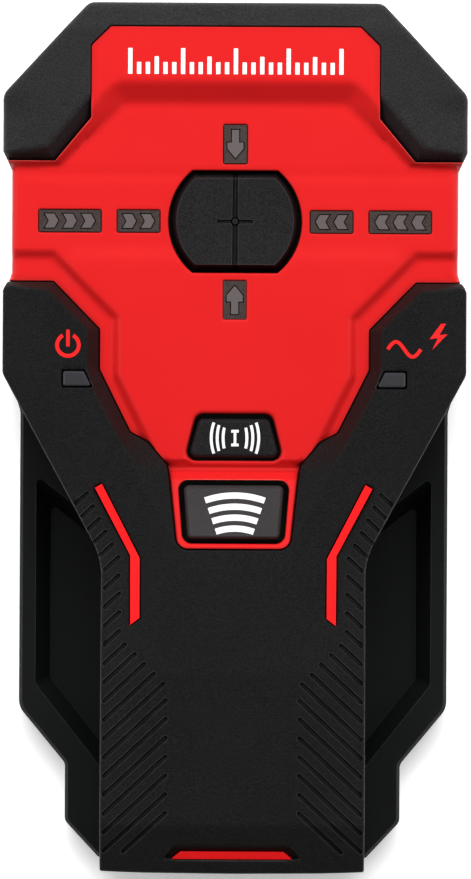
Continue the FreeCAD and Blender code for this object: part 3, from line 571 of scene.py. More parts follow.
slotLooks = {
    "red_plastic": "redPlastic", "base_plastic": "basePlastic", "soft_bumper": "bumperRubber",
    "soft_grip": "gripRubber", "red_inlay": "redInlay", "smoke_lens": "smokeLens",
    "button_black": "buttonBlack", "button_grey": "buttonGrey", "window_plastic": "windowPlastic",
    "arrow_plastic": "arrowPlastic", "steel": "steel", "white_nylon": "nylon",
    "circuit_board": "circuitBoard", "copper": "copper", "component_black": "epoxy",
    "led_body": "ledBody", "battery_case": "batteryCase", "lead_red": "leadRed",
    "lead_black": "leadBlack", "foam": "foam", "felt": "felt", "label": "label",
}
for entry in frame["record"]["subparts"]:
    node = nodes[entry["node"]]
    node.data.materials.clear()
    node.data.materials.append(materials[slotLooks[entry["material_slot"]]])
    node.data.polygons.foreach_set("use_smooth", [True] * len(node.data.polygons))
    node.data.set_sharp_from_angle(angle=math.radians(30))
print("materials ready")

# ---------- red face ----------

red = {
    "deck": 24.0,
    "panel": 27.0,
    "margin": 22.8,
    "skin": 2.0,
    "rimRound": 0.15,
    "frameRound": 0.5,     # the rim beside the scan button
    "waistRound": 1.3,
    "wellRound": 0.4,
    "modeRound": 0.95,
    "seat": 9.1,
    "panelStep": [(-90, 2.4), (54.0, 2.4), (60.0, 3.2), (66.0, 4.3), (90, 4.3)],   # its width along y
    "marginStep": 2.2,
    "rise": 0.35,          # the deck behind the windows stands a little prouder
    "riseStart": (38.2, 34.0),
    "crease": (51.4, 0.12, 1.1),   # y, depth and width of the line across the deck
    "rampStart": -3.7,
    "sleeve": 1.12,        # how thick a well's wall is
    "sleeveFoot": 18.5,
}
redHalf = bumperSeam + [(44.2, 54.0), (43.35, 52.0, 1.0), (43.35, 32.4, 1.0), (43.9, 30.6)] + armSeam
deckFoot = [(-60, 52.0), (-33.9, 53.0), (-21.4, 65.2), (21.4, 65.2), (33.9, 53.0), (60, 52.0)]
plateauEdge = [(60, 37.0), (34.8, 37.0), (21.9, 24.0), (21.9, 12.5), (15.0, -1.5), (15.0, -5.0)]
rampLine = [(90, 24.0), (-3.7, 24.0), (-5.3, 23.0), (-5.8, 23.1), (-7.7, 25.7), (-21.2, 30.75), (-30, 31.5)]

modeWell = traceLoop(mirrorPlan([(7.3, 5.0, 1.7), (9.5, -3.95, 1.7)]), 0.5)
scanWell = traceLoop(mirrorPlan([(10.85, -7.8, 1.9), (9.8, -20.0, 1.9)]), 0.5)
markerWell = {"y": 42.3, "radius": 12.9, "flat": 9.9}


def markerLoop(grow, steps=28):
    # a circle cut by two flats
    radius, flat = markerWell["radius"] + grow, markerWell["flat"] + grow
    start = math.asin(flat / radius)
    right = [(radius * math.cos(a), radius * math.sin(a)) for a in np.linspace(-start, start, steps)]
    left = [(-x, -y) for x, y in right]
    across = math.sqrt(radius ** 2 - flat ** 2)
    run = np.linspace(across, -across, steps)[1:-1]
    loop = right + [(x, flat) for x in run] + left + [(-x, -flat) for x in run]
    return np.array(loop) + (0, markerWell["y"])


densePlateau = [(42.0, 37.0), (34.8, 37.0), (21.9, 24.0), (21.9, 12.5), (17.2, 3.0)]


def insideRun(line, x, y):
    # True below the right-hand half of an open line, for |x|
    closed = np.array(list(line) + [(0.0, line[-1][1]), (0.0, 90.0), (90.0, 90.0), (90.0, line[0][1])])
    return insideLoop(np.column_stack([np.abs(x), y]), closed)


def redHeight(x, y):
    away = lineDistance(x, y, deckFoot)
    raisedSide = ~insideLoop(np.column_stack([x, y]), np.array(deckFoot + [(60, -90), (-60, -90)]))
    lift = red["panel"] - red["deck"]
    panel = lift * np.clip(away / along(y, red["panelStep"]), 0, 1) * raisedSide
    panel = softMin(panel, np.full(len(x), lift), 0.35)
    onPlateau = insideRun(plateauEdge, x, y)
    below = np.where(onPlateau, 0.0, lineDistance(np.abs(x), y, plateauEdge))
    margin = (red["deck"] - red["margin"]) * softStep(below / red["marginStep"])
    startY, startX = red["riseStart"]
    rise = red["rise"] * softStep((startY - y) / 4.2) * softStep((startX - np.abs(x)) / 4.0)
    creaseY, creaseDepth, creaseWidth = red["crease"]
    crease = creaseDepth * np.exp(-((y - creaseY) / creaseWidth) ** 2)
    deck = red["deck"] + panel - margin - crease * (np.abs(x) < 43) + rise
    return np.where(y > red["rampStart"], deck, along(y, rampLine) + rise * softStep((y + 5.2) / 1.5))


# ---------- indicator windows, as (x, y, across, along) ----------

windowPlan = [(-32.0, 42.35, 12.0, 4.25), (-18.7, 42.35, 8.2, 4.25), (18.7, 42.35, 8.2, 4.25),
              (32.0, 42.35, 12.0, 4.25), (0.0, 57.35, 4.5, 7.5), (0.0, 27.15, 4.5, 7.5)]


def windowLoop(window, grow=0.0):
    x, y, wide, deep = window
    a, b = wide / 2 + grow, deep / 2 + grow
    return traceLoop([(x - a, y - b, 0.25), (x + a, y - b, 0.25), (x + a, y + b, 0.25), (x - a, y + b, 0.25)], 0.8)


def makeRedFace():
    outline = insetLoop(traceLoop(mirrorPlan(redHalf), 0.7), plan["seam"])
    windows = [windowLoop(w) for w in windowPlan]
    well = markerLoop(0.0)
    holes = [well, modeWell, scanWell] + windows
    guides = [insetLoop(outline, d) for d in roundSteps(red["rimRound"], 4) + roundSteps(red["frameRound"], 4)]
    guides += [insetLoop(outline, d) for d in (0.9, 1.3, 2.0, 2.06)]
    rounds = [red["wellRound"], red["modeRound"]] + [red["wellRound"]] * (len(holes) - 2)
    for hole, rounding in zip(holes, rounds):
        guides += [insetLoop(hole, -d) for d in roundSteps(rounding, 4) + [1.1, 1.15]]

    def top(x, y):
        height = redHeight(x, y)
        edge = loopDistance(x, y, outline)
        onWaist = (np.abs(x) > 40.5) & (y > 31.2) & (y < 53.4)
        rim = np.where(y < -4.6, edgeRound(edge, red["frameRound"]), edgeRound(edge, red["rimRound"]))
        height -= np.where(onWaist, edgeRound(edge, red["waistRound"]), rim)
        for hole, rounding in zip(holes, rounds):
            height -= edgeRound(loopDistance(x, y, hole), rounding)
        return height

    def bottom(x, y):
        height = redHeight(x, y) - red["skin"]
        height = np.where(loopDistance(x, y, outline) < red["skin"] + 0.03, red["seat"], height)
        for hole in (well, modeWell, scanWell):
            height = np.where(loopDistance(x, y, hole) < red["sleeve"], red["sleeveFoot"], height)
        return height

    lines = []
    for sign in (1, -1):
        for offset in (0.0, 0.4, 0.8, 1.2, 1.6, 2.2):
            moved = denseLine([tuple(q) for q in offsetLine(densePlateau, offset)], 0.8)
            lines.append([(sign * px, py) for px, py in moved])
    for level in (-3.6, -3.8, -5.2, -5.4, -5.75, -5.95, -7.55):
        lines.append(denseLine([(-12.4, level), (12.4, level)], 0.7))
    face = mouldSkin("redFace", outline, top, bottom, holes, guides, lines, grid=0.8)
    return settle(face, "housing", "red_plastic", materials["redPlastic"], "front_shell")


# ---------- front bumper ----------

bumper = {
    "top": 27.5,
    "outerFall": 1.5,      # how much the side facets fall to the edge
    "frontFall": 1.4,
    "sideStart": 36.3,     # where the side facet begins
    "frontStart": 79.4,
    "dimple": (32.8, 64.2, 0.75, 0.35),   # x, y, radius, depth
    "foot": 23.6,
    "diagonalBevel": 2.9,
    "lowerBevel": 2.6,
    "edgeRound": 1.2,
    "seat": 9.1,
}
bumperOuter = [(0, plan["front"]), (28.4, plan["front"], 2.6), (45.0, 66.7, 3.0)]
bumperHalf = bumperSeam + [(44.2, 54.0, 0.3), (45.0, 55.7, 0.8)] + bumperOuter[::-1]
bevelCorner = (34.9, 54.0)
bevelNormal = (0.769, 0.639)      # across the diagonal bevel, pointing away from the red face


def makeBumper():
    half = bumperHalf
    corners = half + [(-p[0],) + tuple(p[1:]) for p in reversed(half[1:-1])]
    outline = insetLoop(traceLoop(corners, 0.7), 0.04)
    outer = traceLoop(mirrorPlan(bumperOuter + [(45.0, 40.0), (0, 40)]), 0.8)

    def top(x, y):
        ax = np.abs(x)
        height = np.full(len(x), bumper["top"])
        sideFall = bumper["outerFall"] * np.clip((ax - bumper["sideStart"]) / 8.7, 0, 1) * softStep((68.0 - y) / 6)
        frontFall = bumper["frontFall"] * np.clip((y - bumper["frontStart"]) / 5.3, 0, 1)
        height = softMin(height, height - sideFall - frontFall, 0.15)
        dimpleX, dimpleY, dimpleRadius, dimpleDepth = bumper["dimple"]
        away = np.hypot(ax - dimpleX, y - dimpleY)
        height -= dimpleDepth * softStep((dimpleRadius - away) / 0.5)
        rise = bumper["top"] - bumper["foot"]
        across = (ax - bevelCorner[0]) * bevelNormal[0] + (y - bevelCorner[1]) * bevelNormal[1]
        slope = softMin(across / bumper["diagonalBevel"], (y - bevelCorner[1]) / bumper["lowerBevel"], 0.06)
        slope = np.where(y > 70.0, 2.0, slope)
        height = softMin(height, bumper["foot"] + rise * slope, 0.2)
        height -= edgeRound(loopDistance(x, y, outer), bumper["edgeRound"])
        return height - edgeRound(loopDistance(x, y, outline), 0.3)

    def bottom(x, y):
        shoulder = np.where(y > 54.0, 25.4, bumper["seat"])
        rim = loopDistance(x, y, outer) < 2.0
        return np.where(rim, bumper["seat"], np.minimum(shoulder, 22.0))

    guides = [insetLoop(outline, d) for d in roundSteps(0.3, 3) + roundSteps(bumper["edgeRound"], 5)]
    lines = []
    for sign in (1, -1):
        for shift in (-0.15, 0.15):
            lines.append([(sign * x, y + shift) for x, y in ((28.4, 65.2), (36.4, 56.0), (44.6, 56.0))])
            lines.append([(sign * (36.3 + shift), y) for y in (57.6, 68.0)])
        lines.append([(sign * x, y) for x, y in ((35.2, 54.4), (36.3, 55.8))])
    piece = mouldSkin("bumperSkin", outline, top, bottom, (), guides, [denseLine(line, 1.0) for line in lines],
                      grid=0.75)
    return settle(piece, "housing", "soft_bumper", materials["bumperRubber"], "top_bumper")


# ---------- grip ----------

grip = {
    "profile": [(31.5, 27.5), (14.0, 27.8), (-21.0, 30.5), (-45.0, 34.0), (-74.0, 35.0), (-86.0, 30.6)],
    "outerFall": [(31.5, 2.2), (-10.0, 2.2), (-24.0, 0.9), (-86.0, 0.7)],   # drop to the outer edge along y
    "innerFoot": [(32, 23.3), (3.0, 23.3), (-3.0, 24.6), (-5.5, 26.0), (-21.0, 30.5), (-86, 30.5)],
    "edgeRound": 0.5,
    "seat": 9.1,
    "ribs": 22,
    "ribPitch": 3.6,
    "ribFirst": 15.97,      # where the first rib's line would meet the centre line
    "ribLean": 0.933,
    "ribHalf": 0.45,
    "ribDepth": 0.5,
}
gripOuter = [(45.0, 12.7, 3.0), (25.55, -22.9, 14.0), (25.55, -83.2, 0.5), (17.0, -83.45), (0, plan["back"])]
gripHalf = [(0, -21.1)] + armSeam[::-1] + [(44.1, 30.6, 0.5), (45.0, 28.8, 1.2)] + gripOuter
innerEdge = [(60.0, 30.6)] + [corner[:2] for corner in armSeam[:-1]] + [(11.1, -19.2)]
stripPlan = [(25.4, -8.5, 0.3), (26.8, -9.3, 0.3), (19.9, -22.3), (19.8, -35.7, 0.2), (17.95, -34.3, 0.2),
             (18.0, -22.8)]
endBarPlan = mirrorPlan([(9.9, -79.1, 0.3), (11.8, -80.65, 0.3)])
endNotch = {"top": -76.9, "foot": -80.7, "ramp": 2.2, "halfTop": 11.0, "halfFoot": 13.6, "depth": 1.2}
lensPlan = [(29.0, 13.3, 0.15), (27.45, 10.15, 0.15), (33.2, 10.15, 0.2), (33.2, 13.3, 0.2)]


def gripEdge(y):
    return along(y, [(31, 45.0), (12.7, 45.0), (-22.9, 25.55), (-86, 25.55)])


def ribLimit(y):
    # how near to the centre line a rib may reach
    return along(y, [(0, 33.5), (-8.5, 28.9), (-22.8, 21.6), (-36.5, 21.4), (-38.4, 21.2), (-47.0, 12.6),
                     (-48.0, 12.4), (-86, 12.4)])


def ribEdge(y):
    # where a rib ends beside the outer edge
    return along(y, [(31, 44.0), (12.7, 44.0), (-19.0, 27.1), (-25.0, 24.8), (-32.0, 24.75), (-86, 24.75)])


def ribLines():
    # centre line of every rib on the right side
    found = []
    for i in range(grip["ribs"]):
        across = np.arange(12.0, 40.0, 0.05)
        y = grip["ribFirst"] - grip["ribPitch"] * i - grip["ribLean"] * across
        good = (across > ribLimit(y) + 0.45) & (across < ribEdge(y)) & (y > -79.2)
        if good.sum() > 20:
            xs, ys = across[good], y[good]
            found.append(((xs[0], ys[0]), (xs[-1], ys[-1])))
    return found


def capsule(start, end, radius):
    start, end = np.array(start), np.array(end)
    ahead = unit(end - start)
    side = np.array([-ahead[1], ahead[0]]) * radius
    start, end = start - ahead * radius, end + ahead * radius
    corners = [start + side, start - side, end - side, end + side]
    return traceLoop([(c[0], c[1], radius * 0.98) for c in corners], 0.6)


armCrease = [(60.0, 28.8), (36.1, 28.7), (28.5, 21.4), (28.5, 14.0), (27.4, 9.9), (11.3, -19.9)]
outerCrease = [(35.9, 27.9), (35.9, 13.7), (26.2, -5.8), (21.5, -16.0), (20.6, -22.9), (21.5, -82.0)]


def gripHeight(x, y):
    ax = np.abs(x)
    crest = along(y, grip["profile"])
    crease = along(y, [(py, px) for px, py in outerCrease])
    edge = gripEdge(y)
    fall = along(y, grip["outerFall"])
    outer = crest - fall * (ax - crease) / (edge - crease)
    height = softMin(crest, outer, 0.3)
    # the inner facet is ruled between the red boundary and the crease line
    toCrease = lineDistance(ax, y, armCrease)
    toEdge = lineDistance(ax, y, innerEdge)
    beyond = insideLoop(np.column_stack([ax, y]), np.array(armCrease + [(11.2, -90.0), (60.0, -90.0)]))
    width = np.maximum(np.where(beyond, 2.5, toCrease + toEdge), 0.4)
    foot = along(y, grip["innerFoot"])
    inner = crest + (crest - foot) * np.where(beyond, toCrease, -toCrease) / width
    return np.where(y > -20.5, softMin(height, inner, along(y, [(8.0, 0.1), (14.0, 0.25)])), height)


def notchDepth(x, y):
    # the recess in front of the end bar: a ramp down to the bar that fades out at both ends
    t = np.clip((endNotch["top"] - y) / (endNotch["top"] - endNotch["foot"]), 0, 1)
    half = endNotch["halfTop"] + (endNotch["halfFoot"] - endNotch["halfTop"]) * t
    ramp = np.clip((endNotch["top"] - y) / endNotch["ramp"], 0, 1)
    ends = softStep((half - np.abs(x)) / 1.2)
    back = softStep((y - endNotch["foot"]) / 0.4)
    return endNotch["depth"] * ramp * ends * back


def makeGrip():
    corners = gripHalf + [(-p[0],) + tuple(p[1:]) for p in reversed(gripHalf[1:-1])]
    outline = insetLoop(traceLoop(corners, 0.7), plan["seam"])
    leftSide = [(-p[0],) + tuple(p[1:]) for p in gripOuter[:-1]]
    outer = traceLoop([(-45, 31)] + leftSide + gripOuter[::-1] + [(45, 31)], 0.7)
    outer = np.roll(outer, -1, 0)
    ribs = ribLines()
    ribs += [((-a[0], a[1]), (-b[0], b[1])) for a, b in ribs]
    strip = traceLoop(stripPlan, 0.8)
    lens = traceLoop(lensPlan, 0.8)
    bar = traceLoop(endBarPlan, 0.8)
    pockets = [(strip, 1.5), (flipLoop(strip), 1.5), (lens, 3.0), (flipLoop(lens), 3.0)]
    pockets = [(insetLoop(loop, -0.12), depth) for loop, depth in pockets] + [(insetLoop(bar, -0.1), 1.6)]
    guides = [insetLoop(outline, d) for d in roundSteps(0.3, 3) + roundSteps(grip["edgeRound"], 5)]
    for loop, _ in pockets:
        guides += [insetLoop(loop, -0.2), loop, insetLoop(loop, 0.05)]
    for start, end in ribs:
        guides += [capsule(start, end, grip["ribHalf"]), capsule(start, end, grip["ribHalf"] * 0.5)]
    notch = [(-endNotch["halfTop"], endNotch["top"]), (endNotch["halfTop"], endNotch["top"]),
             (endNotch["halfFoot"], endNotch["foot"]), (-endNotch["halfFoot"], endNotch["foot"])]
    notchLoop = traceLoop(notch, 0.8)
    guides += [notchLoop, insetLoop(notchLoop, 0.4), insetLoop(notchLoop, 0.8)]

    def top(x, y):
        height = gripHeight(x, y) - notchDepth(x, y)
        height -= edgeRound(lineDistance(x, y, outer), grip["edgeRound"])
        height -= edgeRound(loopDistance(x, y, outline), 0.3)
        ribAway = np.full(len(x), 9.0)
        for rib in ribs:
            near = np.abs(y - (rib[0][1] + rib[1][1]) / 2) < 12
            ribAway[near] = np.minimum(ribAway[near], lineDistance(x[near], y[near], rib))
        height -= grip["ribDepth"] * softStep((grip["ribHalf"] - ribAway) / (grip["ribHalf"] * 0.5))
        flat = np.column_stack([x, y])
        for loop, depth in pockets:
            reach = np.minimum(loopDistance(x, y, loop), 1.0)
            within = insideLoop(flat, loop) & (reach > 0.02)
            height -= np.where(within, depth, 0)
            height -= np.where(~within, edgeRound(reach, 0.2), 0)
        return height

    def bottom(x, y):
        rim = loopDistance(x, y, outline) < 2.0
        return np.where(rim & (lineDistance(x, y, outer) < 2.0), grip["seat"], gripHeight(x, y) - 2.6)

    lines = []
    for sign in (1, -1):
        for offset in (-0.35, -0.12, 0.12, 0.35):
            for crease in (outerCrease[:4], [(43.8, 28.75)] + armCrease[1:-1] + [(12.6, -17.4)]):
                moved = offsetLine(crease, offset)
                lines.append([(sign * px, py) for px, py in denseLine([tuple(q) for q in moved], 0.9)])
        for mitre in (((35.4, 30.2), (36.0, 29.0)), ((26.6, 22.0), (28.2, 21.6)), ((26.6, 13.7), (28.2, 14.0)),
                      ((20.9, 1.6), (24.0, 3.6))):
            lines.append([(sign * px, py) for px, py in denseLine(mitre, 0.5)])
    piece = mouldSkin("gripSkin", outline, top, bottom, (), guides, lines, grid=0.75)
    return settle(piece, "housing", "soft_grip", materials["gripRubber"], "grip_skin")


# ---------- buttons ----------

marker = {
    "gap": 0.5,
    "top": 25.7,
    "rim": 1.05,         # width of the chamfer round the face
    "fall": 2.9,
    "groove": 0.42,      # half width of the crosshair's long line
    "grooveDepth": 0.6,
    "barHalf": 3.5,
    "dot": 0.55,
    "moat": 0.9,         # radius of the ring cut round the dot
    "dish": 0.25,
    "foot": 17.0,
    "travel": 3.0,
}


def makeMarkerCap():
    outline = markerLoop(-marker["gap"])
    cy = markerWell["y"]
    rim, half = marker["rim"], marker["groove"]
    guides = [insetLoop(outline, d) for d in (0.06, 0.14, 0.25, rim - 0.12, rim, rim + 0.12, rim + 0.4, 1.62, 1.7)]
    across = [[(x, cy - 20.0), (x, cy + 20.0)] for side in (1, -1) for x in
              (side * (half + 0.12), side * half, side * 0.14, side * 0.06)]
    short = [[(-3.9, cy + y), (3.9, cy + y)] for y in (-0.38, -0.28, -0.2, 0.2, 0.28, 0.38)]
    rings = [np.array([(r * math.cos(a), cy + r * math.sin(a)) for a in np.linspace(0, 2 * math.pi, 29)[:-1]])
             for r in (0.4, 0.55, 0.67, 0.8, 0.9)]

    def top(x, y):
        edge = loopDistance(x, y, outline)
        chamfer = marker["fall"] * (1 - np.clip((edge - 0.14) / (rim - 0.14), 0, 1))
        height = marker["top"] - chamfer - edgeRound(edge, 0.14)
        height -= marker["dish"] * (1 - ((x / 12.4) ** 2 + ((y - cy) / 9.4) ** 2)).clip(0, 1)
        deep = marker["grooveDepth"]
        line = deep * softStep((half + 0.12 - np.abs(x)) / 0.12) - 0.25 * softStep((0.14 - np.abs(x)) / 0.08)
        bar = 0.45 * softStep((0.38 - np.abs(y - cy)) / 0.12) * softStep((marker["barHalf"] - np.abs(x)) / 0.2)
        away = np.hypot(x, y - cy)
        dot = softStep((marker["dot"] + 0.1 - away) / 0.12)
        moat = 0.7 * softStep((marker["moat"] - away) / 0.12)
        return height - np.maximum(np.maximum(line, bar), moat) * (1 - dot) - 0.1 * dot

    def bottom(x, y):
        return np.where(loopDistance(x, y, outline) < 1.66, marker["foot"], marker["top"] - 3.0)

    loops = guides + rings
    lines = [clipLine(line, outline) for line in across + short]
    cap = mouldSkin("markerCap", outline, top, bottom, (), loops, lines, grid=0.6)
    return settle(cap, "marker_button", "button_black", materials["buttonBlack"], "marker_cap")


def makeSpring():
    # the return spring: a copy of its node's mesh, carried by the housing
    node = nodes["marker_spring"]
    spring = bpy.data.objects.new("springCoil", node.data.copy())
    bpy.context.scene.collection.objects.link(spring)
    spring.matrix_world = node.matrix_world.copy()
    settle(spring, "housing", "steel", materials["steel"], "marker_spring")
    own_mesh(spring)


def makeLens(name, node, sign):
    outline = traceLoop([(sign * px, py, 0.5) for px, py, _ in lensPlan], 0.5)
    outline = insetLoop(outline, 0.1)
    guides = [insetLoop(outline, d) for d in (0.08, 0.2, 0.35, 0.6)]

    def top(x, y):
        return gripHeight(x, y) + 0.12 - edgeRound(loopDistance(x, y, outline), 0.4)

    def bottom(x, y):
        return np.full(len(x), 14.7)

    lens = mouldSkin(name, outline, top, bottom, (), guides, (), grid=0.5)
    return settle(lens, "housing", "smoke_lens", materials["smokeLens"], node)


keys = {
    "mode": {"corners": [(6.8, 4.2, 1.3), (8.9, -3.45, 1.3)], "rim": 0.7, "fall": 0.6},
    "scan": {"corners": [(9.75, -8.75, 1.1), (8.85, -19.1, 1.1)], "rim": 0.6, "fall": 0.7},
    "foot": 16.7,
    "wall": 1.32,
}


def makeKey(word, slot, look, face):
    # a push button: flat or sloping face, bevelled rim, hollow below
    key = keys[word]
    rim = key["rim"]
    outline = traceLoop(mirrorPlan(key["corners"]), 0.5)
    guides = [insetLoop(outline, d) for d in (0.06, 0.16, 0.3, rim * 0.6, rim - 0.12, rim, rim + 0.15, 1.3, 1.35)]

    def top(x, y):
        edge = loopDistance(x, y, outline)
        bevel = key["fall"] * np.clip(1 - edge / rim, 0, 1)
        return face(x, y) - softMax(bevel, np.zeros(len(x)), 0.12) - edgeRound(edge, 0.3)

    def bottom(x, y):
        return np.where(loopDistance(x, y, outline) < keys["wall"], keys["foot"], face(x, y) - 2.2)

    cap = mouldSkin(f"{word}Cap", outline, top, bottom, (), guides, (), grid=0.6)
    return settle(cap, f"{word}_key", slot, materials[look], f"{word}_button")


def modeFace(x, y):
    return 24.8 - 0.2 * (1 - (x / 8.0) ** 2).clip(0, 1)


def scanFace(x, y):
    return along(y, [(0, 26.7), (-5.4, 25.45), (-21.2, 30.95), (-30, 34)]) - 0.2 * (1 - (x / 9.5) ** 2).clip(0, 1)


# ---------- printed marks ----------
# Each mark is a thin film of ink that follows the surface under it.

ink = {
    "lift": 0.035,           # how far the film stands off its surface
    "power": (-32.15, 18.2),
    "powerRadius": 2.1,
    "wave": (32.8, 17.7),
    "tickFoot": 70.7,
    "tickHalf": 0.42,
    "tickHeights": (5.0, 3.4, 2.3),
    "scanArcs": (17.5, 15.35, 13.25, 11.15),
    "modeArcs": ((2.05, 2.0), (3.2, 2.5), (4.35, 3.0)),   # distance from the middle and half height
}


def arcBand(cx, cy, radius, thick, start, end, steps=18):
    angles = np.radians(np.linspace(start, end, steps))
    outer = [(cx + (radius + thick / 2) * math.cos(a), cy + (radius + thick / 2) * math.sin(a)) for a in angles]
    inner = [(cx + (radius - thick / 2) * math.cos(a), cy + (radius - thick / 2) * math.sin(a))
             for a in angles[::-1]]
    return np.array(outer + inner)


def barLoop(x0, x1, y0, y1, rounding=0.0):
    return traceLoop([(x0, y0, rounding), (x1, y0, rounding), (x1, y1, rounding), (x0, y1, rounding)], 0.8)


def inkMark(name, loop, surface, body, slot, material):
    def top(x, y):
        return surface(x, y) + ink["lift"]

    def bottom(x, y):
        return surface(x, y) - 0.05

    mark = mouldSkin(name, loop, top, bottom, grid=0.5)
    return settle(mark, body, slot, material)


def waveLoop(cx, cy, length, height, thick, steps=40):
    # one full sine wave as a band of even width
    t = np.linspace(0, 2 * math.pi, steps)
    x = cx - length / 2 + length * t / (2 * math.pi)
    y = cy + height / 2 * np.sin(t)
    slope = height / 2 * np.cos(t) * 2 * math.pi / length
    norm = np.sqrt(1 + slope ** 2)
    nx, ny = -slope / norm * thick / 2, 1 / norm * thick / 2
    return np.vstack([np.column_stack([x + nx, y + ny]), np.column_stack([x - nx, y - ny])[::-1]])


def makeMarks():
    housing = ("housing", "red_inlay", materials["redInk"])
    px, py = ink["power"]
    ring = arcBand(px, py, ink["powerRadius"], 0.75, 118, 422, 36)
    inkMark("powerRing", ring, gripHeight, *housing)
    inkMark("powerStem", barLoop(px - 0.35, px + 0.35, py - 0.3, py + 3.0, 0.2), gripHeight, *housing)
    inkMark("liveWireWave", waveLoop(*ink["wave"], 6.4, 2.9, 0.7), gripHeight, *housing)
    bolt = [(39.9, 22.7), (37.7, 19.7), (39.3, 19.9), (38.2, 17.6), (41.2, 20.7), (39.6, 20.5), (40.9, 22.7)]
    inkMark("liveWireBolt", traceLoop(bolt, 0.8), gripHeight, *housing)
    white = materials["whiteInk"]
    long, middle, short = ink["tickHeights"]
    foot, half = ink["tickFoot"], ink["tickHalf"]
    for i, x in enumerate(np.linspace(-20.4, 20.4, 25)):
        tall = long if i % 6 == 0 else (middle if i % 3 == 0 else short)
        inkMark(f"gaugeTick{i:02d}", barLoop(x - half, x + half, foot, foot + tall, 0.1), redHeight,
                "housing", "button_grey", white)
    for i, radius in enumerate(ink["scanArcs"]):
        inkMark(f"scanArc{i}", arcBand(0.25, -28.2, radius, 1.2, 70.8, 109.2), scanFace, "scan_key", "button_grey",
                white)
    for side, word in ((-1, "Left"), (1, "Right")):
        for i, (x, half) in enumerate(ink["modeArcs"]):
            radius = 9.0
            spread = math.degrees(math.asin(half / radius))
            centre = 0.2 + side * (x + 0.25 - radius)
            start, end = (-spread, spread) if side > 0 else (180 - spread, 180 + spread)
            inkMark(f"modeArc{word}{i}", arcBand(centre, 0.4, radius, 0.56, start, end), modeFace, "mode_key",
                    "button_black", white)
    beam = [(-0.52, 2.0), (0.92, 2.0), (0.92, 1.45), (0.46, 1.45), (0.46, -0.65), (0.92, -0.65), (0.92, -1.2),
            (-0.52, -1.2), (-0.52, -0.65), (-0.06, -0.65), (-0.06, 1.45), (-0.52, 1.45)]
    inkMark("modeStudSection", traceLoop(beam, 0.6), modeFace, "mode_key", "button_black", white)


makeRedFace()
makeBumper()
print("head ready")
makeGrip()
print("grip ready")
makeMarkerCap()
makeLens("powerLens", "power_lens", -1)
makeLens("alertLens", "alert_lens", 1)
makeKey("mode", "button_black", "buttonBlack", modeFace)
makeKey("scan", "button_grey", "buttonGrey", scanFace)
makeSpring()
makeMarks()
print("buttons and marks ready")

# ---------- floor, light, camera ----------

studio = {
    "floor": 3.0,
    "floorColour": "fdfdfd",
    "floorGlow": 0.35,
    "cameraHeight": 1.1,
    "viewLong": 0.1700,      # what the long side of the frame takes in, at the height of the grip
    "focusHeight": 0.026,
    "roll": 0.3,
    "aim": (0.0003, -0.00045),
    "frontPower": 20.0,
    "sidePower": 1.6,
    "backPower": 0.1,
    "horizon": 0.28,
    "zenith": 0.12,
    "behind": 0.08,          # how much of that light comes from beyond the handle's end
}


def makeFloor():
    half = studio["floor"] / 2
    mesh = bpy.data.meshes.new("studioFloor")
    mesh.from_pydata([(-half, -half, 0), (half, -half, 0), (half, half, 0), (-half, half, 0)], [], [(0, 1, 2, 3)])
    floor = bpy.data.objects.new("studioFloor", mesh)
    bpy.context.scene.collection.objects.link(floor)
    material = bpy.data.materials.new("studioPaper")
    material.use_nodes = True
    shader = material.node_tree.nodes["Principled BSDF"]
    shader.inputs["Base Color"].default_value = shade(studio["floorColour"])
    shader.inputs["Roughness"].default_value = 0.9
    shader.inputs["Emission Color"].default_value = (1, 1, 1, 1)
    shader.inputs["Emission Strength"].default_value = studio["floorGlow"]
    # seen from below it is clear, so the underside can be looked at
    tree = material.node_tree
    side = tree.nodes.new("ShaderNodeNewGeometry").outputs["Backfacing"]
    tree.links.new(mathNode(tree, "SUBTRACT", 1.0, side), shader.inputs["Alpha"])
    mesh.materials.append(material)


def makeLamp(name, place, size, power, glossy=True, aim=(0, 0, 0)):
    lamp = bpy.data.lights.new(name, "AREA")
    lamp.shape = "RECTANGLE"
    lamp.size, lamp.size_y = size
    lamp.energy = power
    holder = bpy.data.objects.new(name, lamp)
    holder.location = place
    holder.rotation_euler = (Vector(aim) - Vector(place)).to_track_quat("-Z", "Y").to_euler()
    holder.visible_glossy = glossy
    bpy.context.scene.collection.objects.link(holder)


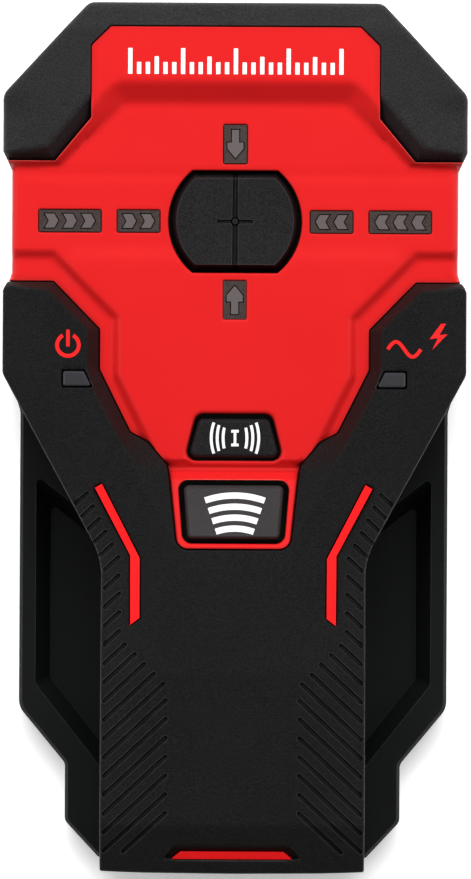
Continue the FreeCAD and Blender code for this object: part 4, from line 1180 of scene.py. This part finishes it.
def makeCamera():
    lens = bpy.data.cameras.new("topCamera")
    distance = studio["cameraHeight"] - studio["focusHeight"]
    lens.sensor_width = 36.0
    lens.lens = lens.sensor_width * distance / studio["viewLong"]
    lens.clip_start = 0.01
    camera = bpy.data.objects.new("topCamera", lens)
    camera.location = (*studio["aim"], studio["cameraHeight"])
    camera.rotation_euler = (0, 0, math.radians(studio["roll"]))
    bpy.context.scene.collection.objects.link(camera)
    bpy.context.scene.camera = camera


makeFloor()
makeLamp("frontSoftbox", (0.0, 0.6, 0.85), (1.2, 0.6), studio["frontPower"], False)
makeLamp("backSoftbox", (0.0, -0.9, 0.7), (1.2, 0.4), studio["backPower"])
makeLamp("leftSoftbox", (-0.85, 0.05, 0.6), (0.4, 1.2), studio["sidePower"])
makeLamp("rightSoftbox", (0.85, 0.05, 0.6), (0.4, 1.2), studio["sidePower"])


def makeWorld():
    # bright towards the horizon and dim overhead, so flat faces seen from above keep their own colour
    world = bpy.data.worlds.new("studioWorld")
    world.use_nodes = True
    tree = world.node_tree
    direction = tree.nodes.new("ShaderNodeTexCoord").outputs["Generated"]
    split = tree.nodes.new("ShaderNodeSeparateXYZ")
    tree.links.new(direction, split.inputs["Vector"])
    fade = tree.nodes.new("ShaderNodeMapRange")
    fade.interpolation_type = "SMOOTHSTEP"
    for label, value in (("From Min", 0.45), ("From Max", 0.92), ("To Min", studio["horizon"]),
                         ("To Max", studio["zenith"])):
        fade.inputs[label].default_value = value
    tree.links.new(split.outputs["Z"], fade.inputs["Value"])
    behind = tree.nodes.new("ShaderNodeMapRange")
    for label, value in (("From Min", -0.9), ("From Max", 0.1), ("To Min", studio["behind"]), ("To Max", 1.0)):
        behind.inputs[label].default_value = value
    tree.links.new(split.outputs["Y"], behind.inputs["Value"])
    strength = mathNode(tree, "MULTIPLY", fade.outputs["Result"], behind.outputs["Result"])
    tree.links.new(strength, tree.nodes["Background"].inputs["Strength"])
    tree.nodes["Background"].inputs["Color"].default_value = (1, 1, 1, 1)
    bpy.context.scene.world = world


makeCamera()
makeWorld()
bpy.context.scene.view_settings.view_transform = "Standard"
print("studio ready")
